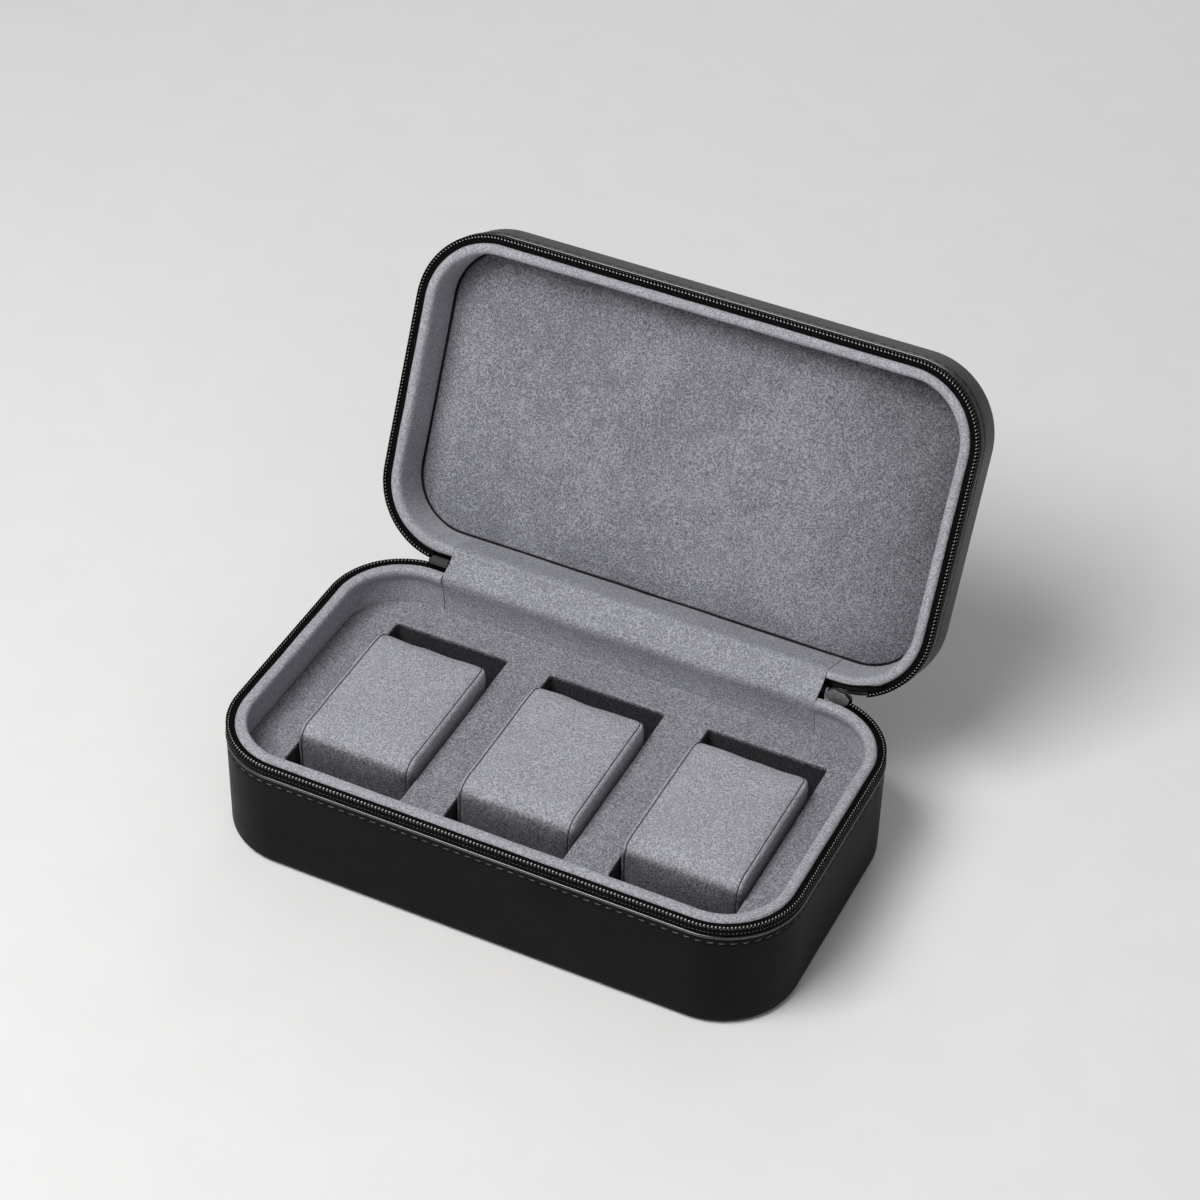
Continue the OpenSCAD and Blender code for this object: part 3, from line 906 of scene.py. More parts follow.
@dataclass(frozen=True)
class LeatherShell(RimPart):
    """The leather over one half: its skin, the turned edge below the zip and the stitches."""

    stitch_depth: float = 7.25
    stitch_pitch: float = 3.9
    stitch_length: float = 2.3
    stitch_width: float = 0.42
    stitch_inset: float = 0.16
    stitch_lean: float = 5.0
    top: float = 5.55
    gap: float = 0.05

    def skin_section(self) -> list[Point]:
        """Draws the skin: a soft ridge, a pressed channel for the stitches and a round lower edge."""
        deep, edge, thick = self.half.height, CASE.edge, CASE.leather
        ridge = [(0.45, self.top), (0.06, 5.7), (-0.06, 6.1), (0.06, 6.5)]
        channel = [(0.26, 6.9), (0.26, 7.6), (0.04, 8.3), (0.0, 9.6)]
        foot = arc((edge, deep - edge), edge, 180, 90, 7)
        inner = arc((edge, deep - edge), edge - thick, 90, 180, 5)
        return [*smooth([*ridge, *channel], 4), *foot, *inner, (thick, self.top)]

    def skin(self) -> None:
        """Makes the skin over the walls and the flat."""
        start = -OUTLINE.flat_x
        marks = OUTLINE.stations(start, start + OUTLINE.length, step=11.0, turn=1.9)
        mesh = swept(self.skin_section(), marks, ring=True)
        OUTLINE.wrap(mesh)
        bmesh.ops.remove_doubles(mesh, verts=mesh.verts, dist=1e-3)
        deep = self.half.height
        for level in (deep, deep - CASE.leather):
            rim = [v for v in mesh.verts if abs(v.co.z - level) < 1e-4]
            kept = set(rim)
            loop = [e for e in mesh.edges if e.verts[0] in kept and e.verts[1] in kept]
            bmesh.ops.delete(mesh, geom=[e for e in loop if not e.link_faces], context="EDGES")
            bmesh.ops.edgeloop_fill(mesh, edges=[e for e in loop if e.is_valid and len(e.link_faces) == 1])
        self.hang("skin", mesh, LEATHER if self.half is Half.BASE else LID_LEATHER, "leather", "cover")

    def turned_edge(self) -> None:
        """Makes the narrow edge that is turned over and shines along the zip."""
        upper = [(1.08, 4.25), (0.55, 4.22), (0.05, 4.3), (-0.22, 4.6)]
        lower = [(-0.24, 4.95), (-0.05, 5.3), (0.4, 5.46), (1.08, 5.5)]
        start = CASE.hinge_x + self.gap
        marks = OUTLINE.stations(start, OUTLINE.length - start, step=11.0, turn=1.9)
        mesh = swept(smooth([*upper, *lower], 3), marks)
        OUTLINE.wrap(mesh)
        self.hang("turned_edge", mesh, TURNED_EDGE, "leather_edge", "binding")

    def stitches(self) -> None:
        """Makes the row of stitches that lies in the channel."""
        mesh = bmesh.new()
        bmesh.ops.create_icosphere(mesh, subdivisions=2, radius=1.0)
        long = self.stitch_length / 2
        bmesh.ops.scale(mesh, verts=mesh.verts, vec=(long, self.stitch_width / 2, self.stitch_width / 2))
        for vert in mesh.verts:
            vert.co.x = math.copysign(long * (abs(vert.co.x) / long) ** 0.55, vert.co.x)
        turned(mesh, self.stitch_lean, "Y")
        spot = (self.stitch_pitch / 2, self.stitch_inset, self.stitch_depth)
        bmesh.ops.translate(mesh, verts=mesh.verts, vec=spot)
        count = math.floor(OUTLINE.length / self.stitch_pitch)
        repeated(mesh, count, OUTLINE.length / count)
        OUTLINE.wrap(mesh)
        self.hang("stitches", mesh, STITCH, "zip_tape")

    def make(self) -> None:
        """Makes the three pieces."""
        self.skin()
        self.turned_edge()
        self.stitches()


# --- zip


@dataclass(frozen=True)
class ZipRow(RimPart):
    """One half's row of coil on its tape, with the thread that sews it down.

    A loop stands upright. Its head is at the rim and is thicker and nearer the outside than
    its foot. The tape is pressed down below the roll where the slider parks.
    """

    start: float
    end: float
    shift: float = 0.0
    pitch: float = CASE.tooth_pitch
    wire: float = 0.20
    steps: int = 10
    head_inset: float = 0.42
    foot_lean: float = 0.27
    loop_width: float = 0.24
    loop_height: float = 1.20
    loop_depth: float = 1.62
    head_growth: float = 0.6
    least_bend: float = 0.03
    thread_lean: float = 24.0
    parking: float = 100.0

    def coil(self) -> None:
        """Winds the coil: flat loops with a thicker head at the rim."""
        mesh = bmesh.new()
        ring = bmesh.ops.create_circle(mesh, segments=6, radius=self.wire, cap_ends=False)["verts"]
        bmesh.ops.translate(mesh, verts=ring, vec=(0, 1.0, 0))
        for axis in "ZX":
            turned(mesh, 90, axis, (1.0, 0.0))
        bmesh.ops.spin(
            mesh, geom=[*mesh.verts, *mesh.edges], cent=(0, 0, 0), axis=(1, 0, 0),
            dvec=(self.pitch / self.steps, 0, 0), angle=math.tau, steps=self.steps, use_merge=False,
        )
        painted = mesh.verts.layers.float.new("head")
        for vert in mesh.verts:
            turn = math.atan2(vert.co.z, vert.co.y)
            reach = math.hypot(vert.co.y, vert.co.z) - 1.0
            share = ease((-math.sin(turn) - 0.50) / 0.40)
            # The head share also marks where the heads get their painted highlight.
            vert[painted] = share
            reach *= 1.0 + self.head_growth * share
            middle = self.head_inset + self.foot_lean * (1 - math.sin(turn))
            vert.co.y = middle + max(self.least_bend, self.loop_width + reach) * math.cos(turn)
            vert.co.z = self.loop_depth + (self.loop_height + reach) * math.sin(turn)
        count = math.floor((self.end - self.start) / self.pitch) - 1
        repeated(mesh, count, self.pitch)
        bmesh.ops.remove_doubles(mesh, verts=mesh.verts, dist=1e-4)
        bmesh.ops.holes_fill(mesh, edges=open_edges(mesh), sides=8)
        bmesh.ops.translate(mesh, verts=mesh.verts, vec=(self.start + self.shift * self.pitch, 0, 0))
        OUTLINE.wrap(mesh)
        self.hang("coil", mesh, COIL, "zip_teeth", "teeth", sharp=80)

    def sewing(self) -> None:
        """Makes the thread that crosses the coil, and the row of tighter stitches below it."""
        mesh = bmesh.new()
        # Both rows take the thread's pale colour, as painted glints along the coil.
        for inset, depth, long, thick in ((0.14, 0.72, 0.20, 0.17), (-0.02, 2.50, 0.36, 0.10)):
            bead = bmesh.new()
            bmesh.ops.create_icosphere(bead, subdivisions=1, radius=1.0)
            bmesh.ops.scale(bead, verts=bead.verts, vec=(long, thick, thick))
            turned(bead, self.thread_lean, "Y")
            bmesh.ops.translate(bead, verts=bead.verts, vec=(self.start + self.pitch, inset, depth))
            repeated(bead, math.floor((self.end - self.start) / self.pitch) - 2, self.pitch)
            data = bpy.data.meshes.new("bead")
            bead.to_mesh(data)
            bead.free()
            mesh.from_mesh(data)
            bpy.data.meshes.remove(data)
        OUTLINE.wrap(mesh)
        self.hang("coil_thread", mesh, COIL_THREAD_HIGHLIGHT, "zip_tape")

    def tape(self) -> None:
        """Makes the woven tape: a channel that holds the coil, turned in under the roll."""
        outside = [(0.2, 3.2), (0.2, 0.75), (-0.02, 0.75), (-0.02, 3.3), (1.14, 4.7), (1.14, 9.1)]
        inside = [(1.42, 9.1), (1.42, 1.35), (3.4, 1.5), (3.4, 1.2), (1.22, 1.05), (1.22, 3.2)]
        mesh = swept([*outside, *inside], OUTLINE.stations(self.start, self.end, step=3.0, turn=1.9))
        for vert in mesh.verts:
            if vert.co.y > 1.2 and vert.co.z < 2.0:
                share = ease((vert.co.x - OUTLINE.length + self.parking) / 8.0)
                vert.co.y += (min(vert.co.y, 1.42) - vert.co.y) * share
                vert.co.z += (2.4 - vert.co.z) * share
        OUTLINE.wrap(mesh)
        self.hang("woven_tape", mesh, TAPE, "zip_tape", "tape")

    def make(self) -> None:
        """Makes the row, its thread and its tape."""
        self.coil()
        self.sewing()
        self.tape()


# --- suede


@dataclass(frozen=True)
class SuedeLining(RimPart):
    """The suede wall of one half and the padded roll along its rim."""

    roll_out: float = 3.1
    back: float = 3.6
    gap: float = 0.12

    def section(self) -> list[Point]:
        """Draws the lining from its hidden foot, over the roll and down the wall."""
        roll = [(0.3, 4.1), (0.0, 2.2), (0.12, 1.0), (0.7, 0.25), (1.4, 0.0)]
        if self.half is Half.BASE:
            roll += [(2.9, 0.02), (3.7, 0.35), (4.1, 1.15), (4.1, 2.3), (3.6, 3.8)]
            wall = [(5.75, 6.0), (5.25, 9.5), (4.98, 13.0), (4.84, 16.6)]
        else:
            roll += [(2.5, 0.08), (3.3, 0.6), (3.78, 1.6), (3.95, 3.0)]
            wall = [(7.1, 5.0), (7.1, 9.0), (7.14, 13.0), (7.2, 16.9)]
        face = smooth([*((self.roll_out + inset, depth) for inset, depth in roll), *wall], 3)
        return [(self.back, wall[-1][1]), (self.back, 4.6), *face]

    def make(self) -> None:
        """Makes the lining."""
        start = CASE.hinge_x + self.gap
        mesh = swept(self.section(), OUTLINE.stations(start, OUTLINE.length - start, step=3.0, turn=1.6))
        wobble(mesh, 14.0, 0.16, 3.0 if self.half is Half.LID else 8.0)
        if self.half is Half.LID:
            self.make_room(mesh)
        OUTLINE.wrap(mesh)
        self.hang("suede_wall", mesh, ROLL_SUEDE, "suede", "lining", sharp=75)

    @staticmethod
    def make_room(mesh: BMesh) -> None:
        """Presses the roll in where the slider parks, at the right end of the hinge."""
        end = OUTLINE.length - CASE.hinge_x
        for vert in mesh.verts:
            share = ease((vert.co.x - (end - 22.0)) / 7.0) * ease((4.9 - vert.co.z) / 0.8)
            if vert.co.y < 4.6:
                vert.co.y += (4.0 + (vert.co.y - 2.1) * 0.24 - vert.co.y) * share


@dataclass(frozen=True)
class Tray:
    """The suede tray with its three pockets."""

    inset: float = 4.86
    pitch: float = 61.0
    width: float = 44.6
    length: float = 80.0
    shift: float = 1.0
    radius: float = 1.2
    floor: float = 5.58
    foot: float = 3.62
    lip: float = 0.5

    def pocket(self, mesh: BMesh, middle: float) -> None:
        """Draws one pocket's round-cornered edge.

        Args:
            mesh: The mesh that it is added to.
            middle: The pocket's middle along the case.
        """
        half_w, half_d, r = self.width / 2, self.length / 2, self.radius
        corners = ((1, 1, 0), (-1, 1, 90), (-1, -1, 180), (1, -1, 270))
        spots = [
            (middle + x, self.shift + y)
            for sx, sy, turn in corners
            for x, y in arc((sx * (half_w - r), sy * (half_d - r)), r, turn, turn + 90, 5)
        ]
        edges = drawn(mesh, [(x, y, CASE.tray_z) for x, y in spots])[1]
        bmesh.ops.subdivide_edges(mesh, edges=[e for e in edges if e.calc_length() > 8], cuts=9)

    def make(self) -> None:
        """Makes the tray and hangs it on the base."""
        mesh = bmesh.new()
        for k in (-1, 0, 1):
            self.pocket(mesh, k * self.pitch)
        pockets = set(mesh.verts)
        marks = OUTLINE.stations(-OUTLINE.flat_x, OUTLINE.length - OUTLINE.flat_x, step=6.0, turn=2.0)[:-1]
        drawn(mesh, [OUTLINE.at(s) @ Vector((0, self.inset, CASE.tray_z)) for s in marks])
        bmesh.ops.triangle_fill(mesh, edges=mesh.edges, use_beauty=True)
        holes = [e for e in open_edges(mesh) if pockets.issuperset(e.verts)]
        outside = [e for e in open_edges(mesh) if e.verts[0] not in pockets]
        for loop, level in ((holes, self.floor), (outside, self.foot)):
            walls = bmesh.ops.extrude_edge_only(mesh, edges=loop)["geom"]
            bmesh.ops.translate(mesh, verts=points_of(walls), vec=(0, 0, level - CASE.tray_z))
            low = [e for e in edges_of(walls) if all(abs(v.co.z - level) < 1e-4 for v in e.verts)]
            if loop is outside:
                bmesh.ops.edgeloop_fill(mesh, edges=low)
            else:
                bmesh.ops.holes_fill(mesh, edges=low, sides=0)
        rounded(mesh, [e for e in holes + outside if e.is_valid], self.lip, segments=4)
        made = piece("tray_suede", mesh, TRAY_SUEDE, TO_METRES, ["tray_foam", "tray_top"], sharp=60)
        weigh = made.modifiers.new("even shading", "WEIGHTED_NORMAL")
        weigh.keep_sharp = True
        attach(made, Half.BASE.value)


@dataclass(frozen=True)
class LidPad:
    """The padded panel inside the lid, tucked in all round and crowned in its middle."""

    inset: float = 7.75
    floor: float = 17.95
    thick: float = 1.5
    crown: float = 0.55
    swell: float = 0.8
    shoulder: float = 1.9
    slope: float = 19.0

    def rise(self, inset: float) -> float:
        """Gives the panel's height above its floor at an inset from its own edge."""
        edge = self.thick * math.sqrt(min(1.0, inset / self.shoulder))
        return edge + self.crown * math.sin(math.radians(90) * min(1.0, inset / self.slope))

    def shape(self) -> BMesh:
        """Builds the closed panel, with a square grid over its middle."""
        insets = [0.0, 0.06, 0.2, 0.45, 0.8, 1.3, 1.9, 2.8, 4.2, 6.2, 8.6, 11.4, 14.4, 17.4]
        section = [(self.inset + k, self.floor - self.rise(k)) for k in (*insets, OUTLINE.radius - self.inset)]
        mesh = bmesh.new()
        marks = OUTLINE.stations(-OUTLINE.flat_x, OUTLINE.length - OUTLINE.flat_x, step=3.2, turn=1.8)
        verts = [mesh.verts.new((marks[0], a, z)) for a, z in section]
        edges = [mesh.edges.new(pair) for pair in zip(verts, verts[1:])]
        for here, there in zip(marks, marks[1:]):
            edges = extruded(mesh, edges, (there - here, 0, 0))
        OUTLINE.wrap(mesh)
        bmesh.ops.remove_doubles(mesh, verts=mesh.verts, dist=1e-3)
        top = [e for e in open_edges(mesh) if e.verts[0].co.z < self.floor - 1.0]
        across = [e for e in top if abs(e.verts[0].co.y - e.verts[1].co.y) < 1e-3]
        bmesh.ops.grid_fill(mesh, edges=across)
        bmesh.ops.edgeloop_fill(mesh, edges=open_edges(mesh))
        bmesh.ops.recalc_face_normals(mesh, faces=mesh.faces)
        return mesh

    def make(self) -> None:
        """Makes the panel and hangs it in the lid."""
        mesh = self.shape()
        wobble(mesh, 26.0, 0.16, 5.0)
        puffed(mesh, [v for v in mesh.verts if v.co.z > self.floor - 1.0], self.swell)
        made = piece("lid_padded_panel", mesh, PAD_SUEDE, Half.LID.place, ["lid_pad"], sharp=80)
        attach(made, Half.LID.value)


# --- cushions


@dataclass(frozen=True)
class WatchCushion:
    """One cushion: a wrap over the front, top and back, sewn to a panel on each side.

    A panel is a set of rings, each given by how far it stands past the seam and how far it is
    drawn in. Each stands a little past the last, so that the bands between them face outward.
    """

    number: int
    long: float = 59.0
    high: float = 30.4
    crown: float = 0.3
    swell: float = 0.9
    seam: float = 20.15
    wall: float = 22.0
    front: float = 5.6
    back: float = 3.6
    low: float = 3.4
    plan: float = 4.5
    groove: float = 0.5
    lip: float = 0.34
    thread_radius: float = 0.17
    thread_sunk: float = 0.14
    flat_from: float = 1.6
    panel: tuple[Point, ...] = (
        (0.7, 0.12), (1.25, 0.55), (1.55, 1.4), (1.7, 3.0), (1.74, 5.5), (1.77, 8.5), (1.8, 12.0)
    )

    @property
    def body(self) -> str:
        """The body that the cushion is."""
        return f"cushion_{self.number}"

    @property
    def corner(self) -> Vector:
        """The cushion's front lower edge, at its middle, in millimetres."""
        return Vector(((self.number - 2) * Tray.pitch, -31.0, 5.9))

    def side_view(self, grow: float, draw: float) -> list[Point]:
        """Draws the cushion's side view.

        Args:
            grow: How far its top is pushed up.
            draw: How far the whole view is drawn in.

        Returns:
            The points, from the front's foot and over the top.
        """
        y0, y1, z0, z1 = draw, self.long - draw, draw, self.high + grow - draw
        front, back, low = self.front - draw * 0.4, max(0.4, self.back - draw * 0.3), self.low
        return [
            *arc((y0 + low, z0 + low), low, 270, 180, 4),
            *[(y0, z0 + low + (z1 - front - z0 - low) * k / 9) for k in range(1, 9)],
            *arc((y0 + front, z1 - front), front, 180, 90, 6),
            *[(y0 + front + (y1 - y0 - front - back) * k / 20, z1) for k in range(1, 20)],
            *arc((y1 - back, z1 - back), back, 90, 0, 5),
            *[(y1, z1 - back - (z1 - back - z0 - low) * k / 9) for k in range(1, 9)],
            *arc((y1 - low, z0 + low), low, 0, -90, 4),
            *[(y1 - low - (y1 - y0 - 2 * low) * k / 20, z0) for k in range(1, 20)],
        ]

    def shape(self) -> tuple[BMesh, list[list[BMVert]]]:
        """Builds the closed cushion.

        Returns:
            The mesh, and the loop of points on each of its two seams.
        """
        mesh = bmesh.new()
        wrap = []
        for k in range(21):
            x = self.seam * (k / 10 - 1)
            grow = self.crown * (1 - (x / self.seam) ** 2)
            wrap.append([mesh.verts.new((x, y, z)) for y, z in self.side_view(grow, 0.0)])
        loops = list(wrap)
        for side in (-1, 1):
            panel = []
            for reach, draw in self.panel:
                ring = [(side * (self.seam + reach), y, z) for y, z in self.side_view(0.0, draw)]
                panel.append([mesh.verts.new(spot) for spot in ring])
            loops = [*panel[::-1], *loops] if side < 0 else [*loops, *panel]
        for loop in loops:
            for pair in pairs(loop):
                mesh.edges.new(pair)
        for here, there in zip(loops, loops[1:]):
            bridged(mesh, here, there)
        crease = mesh.edges.layers.float.new("crease_edge")
        for loop in (loops[0], loops[-1]):
            rim = ring_of(mesh, loop)
            bmesh.ops.edgeloop_fill(mesh, edges=rim)
            for edge in rim:
                edge[crease] = 1.0
        bmesh.ops.recalc_face_normals(mesh, faces=mesh.faces)
        return mesh, [wrap[0], wrap[-1]]

    def make(self) -> None:
        """Makes the cushion and its two seams, and hangs them on the cushion's own body."""
        mesh, seams = self.shape()
        pressed = {v: v.co.x for v in mesh.verts if abs(v.co.x) > self.seam + self.flat_from}
        wobble(mesh, 11.0, 0.30, self.number * 7.3)
        for vert, x in pressed.items():
            vert.co.x = x
        for vert in mesh.verts:
            past = min(1.0, max(0.0, (vert.co.y - self.long + self.plan) / self.plan))
            vert.co.x *= 1 - self.plan * (1 - math.sqrt(1 - past**2)) / self.wall
        sewn = set(seams[0]) | set(seams[1])
        puffed(mesh, [v for v in mesh.verts if v in sewn or v in pressed or v.co.z < 0.4], self.swell)
        for vert in mesh.verts:
            vert.co.x = max(-self.wall, min(self.wall, vert.co.x))
            vert.co.z = max(0.0, vert.co.z)
        threads = [self.thread([v.co.copy() for v in loop]) for loop in seams]
        self.draw_seams(mesh, seams)
        for part in (mesh, *threads):
            bmesh.ops.translate(part, verts=part.verts, vec=self.corner)
        nodes = [f"{self.body}_{part}" for part in ("wrap", "left", "right")]
        made = piece(f"{self.body}_suede", mesh, CUSHION_SUEDE, TO_METRES, nodes, sharp=120)
        soften = made.modifiers.new("soften", "SUBSURF")
        soften.levels = soften.render_levels = 1
        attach(made, self.body)
        for part, name in zip(threads, ("left", "right")):
            sewn_in = piece(f"{self.body}_{name}_seam", part, SEAM_THREAD, TO_METRES)
            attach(sewn_in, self.body)

    def thread(self, path: Sequence[Vector]) -> BMesh:
        """Lays the thread that shows in a seam's groove."""
        middle = sum(path, Vector()) / len(path)
        sunk = []
        for before, here, after in zip([path[-1], *path], path, [*path[1:], path[0]]):
            inward = (after - before).normalized().cross(Vector((1, 0, 0)))
            if inward.dot(middle - here) < 0:
                inward.negate()
            sunk.append(here + inward * self.thread_sunk)
        return cord(sunk, Vector((1, 0, 0)), self.thread_radius)

    def draw_seams(self, mesh: BMesh, seams: Sequence[Sequence[BMVert]]) -> None:
        """Opens each seam into two lips with a groove pulled in between them."""
        edges = [edge for loop in seams for edge in ring_of(mesh, loop)]
        lips = set(rounded(mesh, edges, self.lip, clamp=False))
        mesh.normal_update()
        for vert in lips:
            if all(edge.other_vert(vert) in lips for edge in vert.link_edges):
                vert.co -= vert.normal * self.groove


# --- hinge


@dataclass(frozen=True)
class Hinge:
    """The suede liner inside the hinge and the leather spine outside it."""

    spine: float = 1.1
    fold: float = 1.75
    cover: float = 2.15

    @property
    def across(self) -> Vector:
        """The way from the base's rim to the lid's, in the row's frame."""
        turn = math.radians(180 - CASE.opened) / 2
        return Vector((0.0, math.cos(turn), math.sin(turn)))

    @staticmethod
    def lid_point(up: float, deep: float) -> Point:
        """Finds a point of the open lid from its inset and its depth below the rim."""
        spot = Half.LID.place @ Vector((0.0, CASE.depth / 2 - up, deep)) / MM
        return spot.y, spot.z

    @staticmethod
    def bend(radius: float, start: float = 180.0, end: float = 180.0 - CASE.opened) -> list[Point]:
        """Draws the bend round the hinge line, from the base's side to the lid's."""
        return arc((CASE.pivot.y, CASE.pivot.z), radius, start, end, 8)

    def hang(
        self,
        name: str,
        line: Sequence[Point],
        thick: float,
        ends: Point,
        finish: Finish,
        slot: str,
        nodes: Sequence[str] = (),
        reach: float = 0.9,
        ripple: float = 0.0,
    ) -> None:
        """Makes a strip along the hinge line, drawn bent round it as the lid stands open.

        Args:
            name: The strip's name.
            line: Its face, as Y and Z, from the base to the lid.
            thick: Its thickness, to the right of the line.
            ends: Where it starts and ends along the hinge.
            finish: Its finish.
            slot: The name of its material slot; not used.
            nodes: The nodes that it is shown in place of.
            reach: How far from the hinge line it would stop bending; not used.
            ripple: How far it waves along its length.
        """
        mesh = bmesh.new()
        back: list[Point] = []
        for before, here, after in zip([line[0], *line], line, [*line[1:], line[-1]]):
            run = Vector((after[0] - before[0], after[1] - before[1])).normalized()
            back.append((here[0] + run.y * thick, here[1] - run.x * thick))
        verts, edges = drawn(mesh, [(ends[0], y, z) for y, z in [*line, *back[::-1]]])
        mesh.faces.new(verts)
        steps = math.ceil((ends[1] - ends[0]) / 2.0)
        for _ in range(steps):
            edges = extruded(mesh, edges, ((ends[1] - ends[0]) / steps, 0, 0))
        bmesh.ops.edgeloop_fill(mesh, edges=edges)
        wobble(mesh, 17.0, ripple, 2.0)
        made = piece(name, mesh, finish, TO_METRES, nodes, sharp=75)
        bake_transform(made)

    def make(self) -> None:
        """Makes the liner, the spine and the short pieces at the zip's ends."""
        face, end, lid = CASE.depth / 2, CASE.hinge_x, self.lid_point
        up_the_base = [(4.84, 28.45), (4.95, 33.0), (5.5, 37.5), (6.3, 41.4), (6.3, 43.6)]
        over_the_rim = [(5.3, 45.2), (3.4, 46.0), (1.55, 46.75)]
        up_the_lid = [(3.5, -0.55), (5.7, 0.0), (6.95, 1.6), (7.25, 5.0), (7.27, 10.0), (7.3, 16.9)]
        liner = [(face - inset, z) for inset, z in (*up_the_base, *over_the_rim)]
        liner += [lid(*spot) for spot in up_the_lid]
        self.hang(
            "hinge_suede", smooth(liner, 5), 0.6, (0.1 - end, end - 0.1), SUEDE, "suede",
            ["hinge_liner_lower", "hinge_gusset", "hinge_liner_upper"], reach=3.1, ripple=0.22,
        )
        inset = self.spine
        inner = [(face - inset, 39.55), (face - inset, 44.4), *self.bend(inset)]
        inner += [lid(inset, 1.0), lid(inset, 5.45)]
        self.hang(
            "hinge_leather", inner, 1.08, (0.02 - end, end - 0.02), LEATHER, "leather",
            ["hinge_spine_lower", "hinge_fold", "hinge_spine_upper"],
        )
        inset = self.fold
        fold = [(face - inset, 41.0), (face - inset, 44.3), *self.bend(inset)]
        fold += [lid(inset, 1.0), lid(inset, 4.2)]
        self.hang("zip_end_left", fold, 0.35, (-end - 7.6, -end - 0.1), TAPE, "zip_tape")
        self.hang("zip_end_right", fold, 0.35, (end + 0.1, end + 1.5), TAPE, "zip_tape")
        cover = self.bend(self.cover, 172, 172 - CASE.opened + 16)
        self.hang("zip_end_cover", cover, 0.4, (-end - 7.2, -end - 0.5), TAB, "zip_tape")


# --- parts that keep their own shape


@dataclass(frozen=True)
class KeptPart:
    """A node of the model whose shape is right, with its finish."""

    node: str
    finish: Finish

    def make(self) -> None:
        """Gives the node its finish."""
        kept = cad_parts[self.node]
        kept.data.materials.clear()
        kept.data.materials.append(self.finish.material)
        for face in kept.data.polygons:
            face.material_index = 0
        log.info("%s: %s", self.node, self.finish.material.name)


@dataclass(frozen=True)
class Slider:
    """The zip's slider: two pointed plates joined by a wedge, bent to the case's outline."""

    start: float = 73.7
    inner_face: float = 1.96
    outer_face: float = -0.9
    thick: float = 0.52
    round_over: float = 0.16

    def block(self, outline: Sequence[Point], near: float, far: float) -> BMesh:
        """Builds one plate with rounded edges.

        Args:
            outline: Its outline, as the way from the slider's start and the depth.
            near: The inset of its outer side.
            far: The inset of its inner side.

        Returns:
            The unrolled plate.
        """
        mesh = bmesh.new()
        first = OUTLINE.length - self.start
        face = mesh.faces.new([mesh.verts.new((first - along, near, deep)) for along, deep in outline])
        grown = bmesh.ops.extrude_face_region(mesh, geom=[face])["geom"]
        bmesh.ops.translate(mesh, verts=points_of(grown), vec=(0, far - near, 0))
        rounded(mesh, list(mesh.edges), self.round_over)
        for k in range(1, 5):
            cut = (first - outline[0][0] - k * 2.0, 0, 0)
            geom = [*mesh.verts, *mesh.edges, *mesh.faces]
            bmesh.ops.bisect_plane(mesh, geom=geom, plane_co=cut, plane_no=(1, 0, 0))
        OUTLINE.wrap(mesh)
        return mesh

    def make(self) -> None:
        """Makes the plates and the wedge, and hangs them on the slider's body."""
        plate = [
            (0.0, -1.3), (2.1, -3.3), (7.4, -3.3), (9.6, -1.4),
            (9.0, 0.9), (7.2, 1.9), (2.0, 1.9), (0.5, 0.6),
        ]
        back = [
            (0.0, -0.9), (2.1, -2.2), (7.4, -2.2), (9.6, -1.0),
            (9.6, 1.4), (7.4, 3.3), (2.1, 3.3), (0.0, 1.3),
        ]
        wedge = [(0.9, -1.0), (2.3, -2.6), (3.6, -2.6), (4.4, -0.6), (3.4, -0.3), (1.4, -0.3)]
        behind, before = self.outer_face + self.thick, self.inner_face - self.thick
        for name, outline, near, far, finish, nodes in (
            ("inner", plate, before, self.inner_face, SATIN_METAL, ["slider_body"]),
            ("outer", back, self.outer_face, behind, GUNMETAL, []),
            ("wedge", wedge, behind - 0.1, before + 0.1, GUNMETAL, []),
        ):
            block = self.block(outline, near, far)
            made = piece(f"slider_{name}", block, finish, Half.BASE.place, nodes, sharp=34)
            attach(made, "zip_slider")


@dataclass(frozen=True)
class SoftenedPart:
    """A cast or moulded part: the node's own shape with its sharp edges rounded over."""

    node: str
    finish: Finish
    slot: str
    body: str
    round_over: float = 0.22

    def make(self) -> None:
        """Makes the part in place of its node."""
        mesh = bmesh.new()
        mesh.from_mesh(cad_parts[self.node].data)
        bmesh.ops.scale(mesh, vec=(1 / MM, 1 / MM, 1 / MM), verts=mesh.verts)
        bmesh.ops.remove_doubles(mesh, verts=mesh.verts, dist=1e-3)
        bmesh.ops.dissolve_limit(mesh, angle_limit=math.radians(1.5), verts=mesh.verts, edges=mesh.edges)
        sharp = [e for e in mesh.edges if len(e.link_faces) == 2 and e.calc_face_angle() > math.radians(28)]
        rounded(mesh, sharp, self.round_over)
        made = piece(f"{self.node}_cast", mesh, self.finish, TO_METRES, [self.node], sharp=34)
        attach(made, self.body)


# --- studio


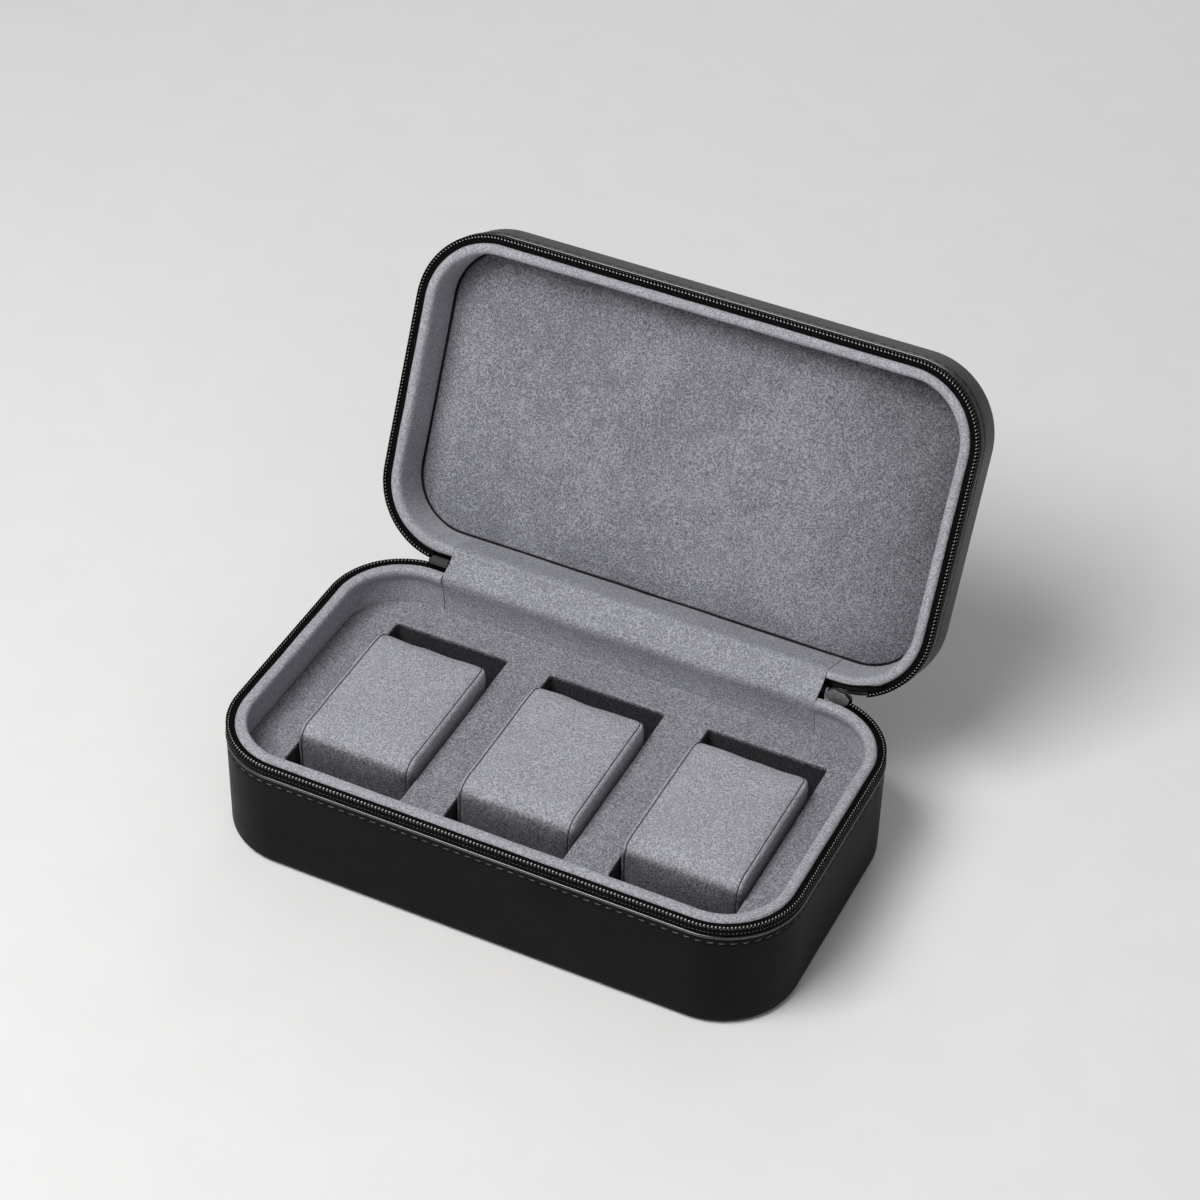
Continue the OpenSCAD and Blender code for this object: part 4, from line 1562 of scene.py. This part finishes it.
@dataclass(frozen=True)
class Studio:
    """The pale floor, the soft lamps and the camera."""

    floor: Colour = (0.80, 0.79, 0.78)
    focal_px: float = 3198.99
    picture_px: float = 1200
    sensor: float = 36.0

    def camera(self) -> None:
        """Sets the camera at the photograph's angle."""
        right = Vector((0.89858294, 0.43838739, 0.01911033))
        up = Vector((-0.29716923, 0.57592251, 0.76157975))
        back = Vector((0.32286089, -0.69002157, 0.64778938))
        spot = Vector((0.347767, -0.710516, 0.775832))
        lens = bpy.data.cameras.new("camera")
        lens.sensor_width = self.sensor
        lens.lens = self.focal_px / self.picture_px * self.sensor
        lens.clip_start = 0.01
        made = shown("camera", lens)
        axes = Matrix((right, up, back)).transposed().to_4x4()
        made.matrix_world = Matrix.Translation(spot) @ axes
        bpy.context.scene.camera = made

    def lamp(self, name: str, spot: Vector, aim: Vector, size: float, watts: float) -> None:
        """Hangs a square soft lamp.

        Args:
            name: Its name.
            spot: Where it hangs, in metres.
            aim: What it faces.
            size: Its side.
            watts: Its power.
        """
        light = bpy.data.lights.new(name, "AREA")
        light.shape = "SQUARE"
        light.size = size
        light.energy = watts
        made = shown(name, light)
        made.location = spot
        made.rotation_euler = (aim - spot).to_track_quat("-Z", "Y").to_euler()

    def ground(self) -> None:
        """Lays the floor and sets the world."""
        mesh = bmesh.new()
        bmesh.ops.create_grid(mesh, x_segments=1, y_segments=1, size=3.0)
        data = bpy.data.meshes.new("floor")
        mesh.to_mesh(data)
        mesh.free()
        made = shown("floor", data)
        graph = Graph("floor")
        darker = tuple(tone * 0.985 for tone in self.floor)
        colour = graph.mix(graph.noise(45.0, 3.0).between(0.3, 0.7), self.floor, darker)
        data.materials.append(graph.surface(Base_Color=colour, Roughness=0.85, Specular_IOR_Level=0.2))

    def sky(self) -> None:
        """Fills the room with an even pale light."""
        world = bpy.data.worlds.new("room")
        bpy.context.scene.world = world
        world.use_nodes = True
        shade = world.node_tree.nodes["Background"]
        shade.inputs["Color"].default_value = (0.96, 0.97, 1.0, 1.0)
        shade.inputs["Strength"].default_value = 0.24

    def make(self) -> None:
        """Sets up the studio."""
        bpy.context.scene.view_settings.view_transform = "Standard"
        self.camera()
        self.ground()
        self.sky()
        for name, spot, height, size, watts in (
            ("key", (-0.34, -0.66, 1.28), 0.03, 0.75, 19.2),
            ("fill", (1.1, -0.9, 0.8), 0.05, 1.0, 2.0),
            ("back", (-0.20, 1.30, 0.60), 0.09, 0.8, 3.0),
        ):
            self.lamp(name, Vector(spot), Vector((0, 0, height)), size, watts)


def main() -> None:
    """Builds the scene in order and reports it."""
    logging.basicConfig(level=logging.INFO, format="%(name)s: %(message)s")
    Studio().make()
    tab_end = CASE.hinge_x + 0.1 + CASE.tab
    row_radius = OUTLINE.radius - 1.4
    row_start = OUTLINE.flat_x + math.asin((tab_end - OUTLINE.flat_x) / row_radius) * OUTLINE.radius
    row_end = OUTLINE.length - OUTLINE.flat_x
    slider_room = 10.6
    for half in Half:
        LeatherShell(half).make()
        SuedeLining(half).make()
    ZipRow(Half.BASE, row_start, row_end).make()
    ZipRow(Half.LID, row_start, row_end - slider_room, shift=0.5).make()
    Tray().make()
    for number in (1, 2, 3):
        WatchCushion(number).make()
    LidPad().make()
    Hinge().make()
    for node in ("base_board", "lid_board"):
        KeptPart(node, BOARD).make()
    SoftenedPart("zip_tab", TAB, "zip_tape", Half.BASE.value).make()
    Slider().make()
    SoftenedPart("slider_bail", GUNMETAL, "gunmetal", "zip_slider", 0.12).make()
    SoftenedPart("slider_pull", GUNMETAL, "gunmetal", "zip_pull", 0.18).make()


if __name__ == "__main__":
    main()
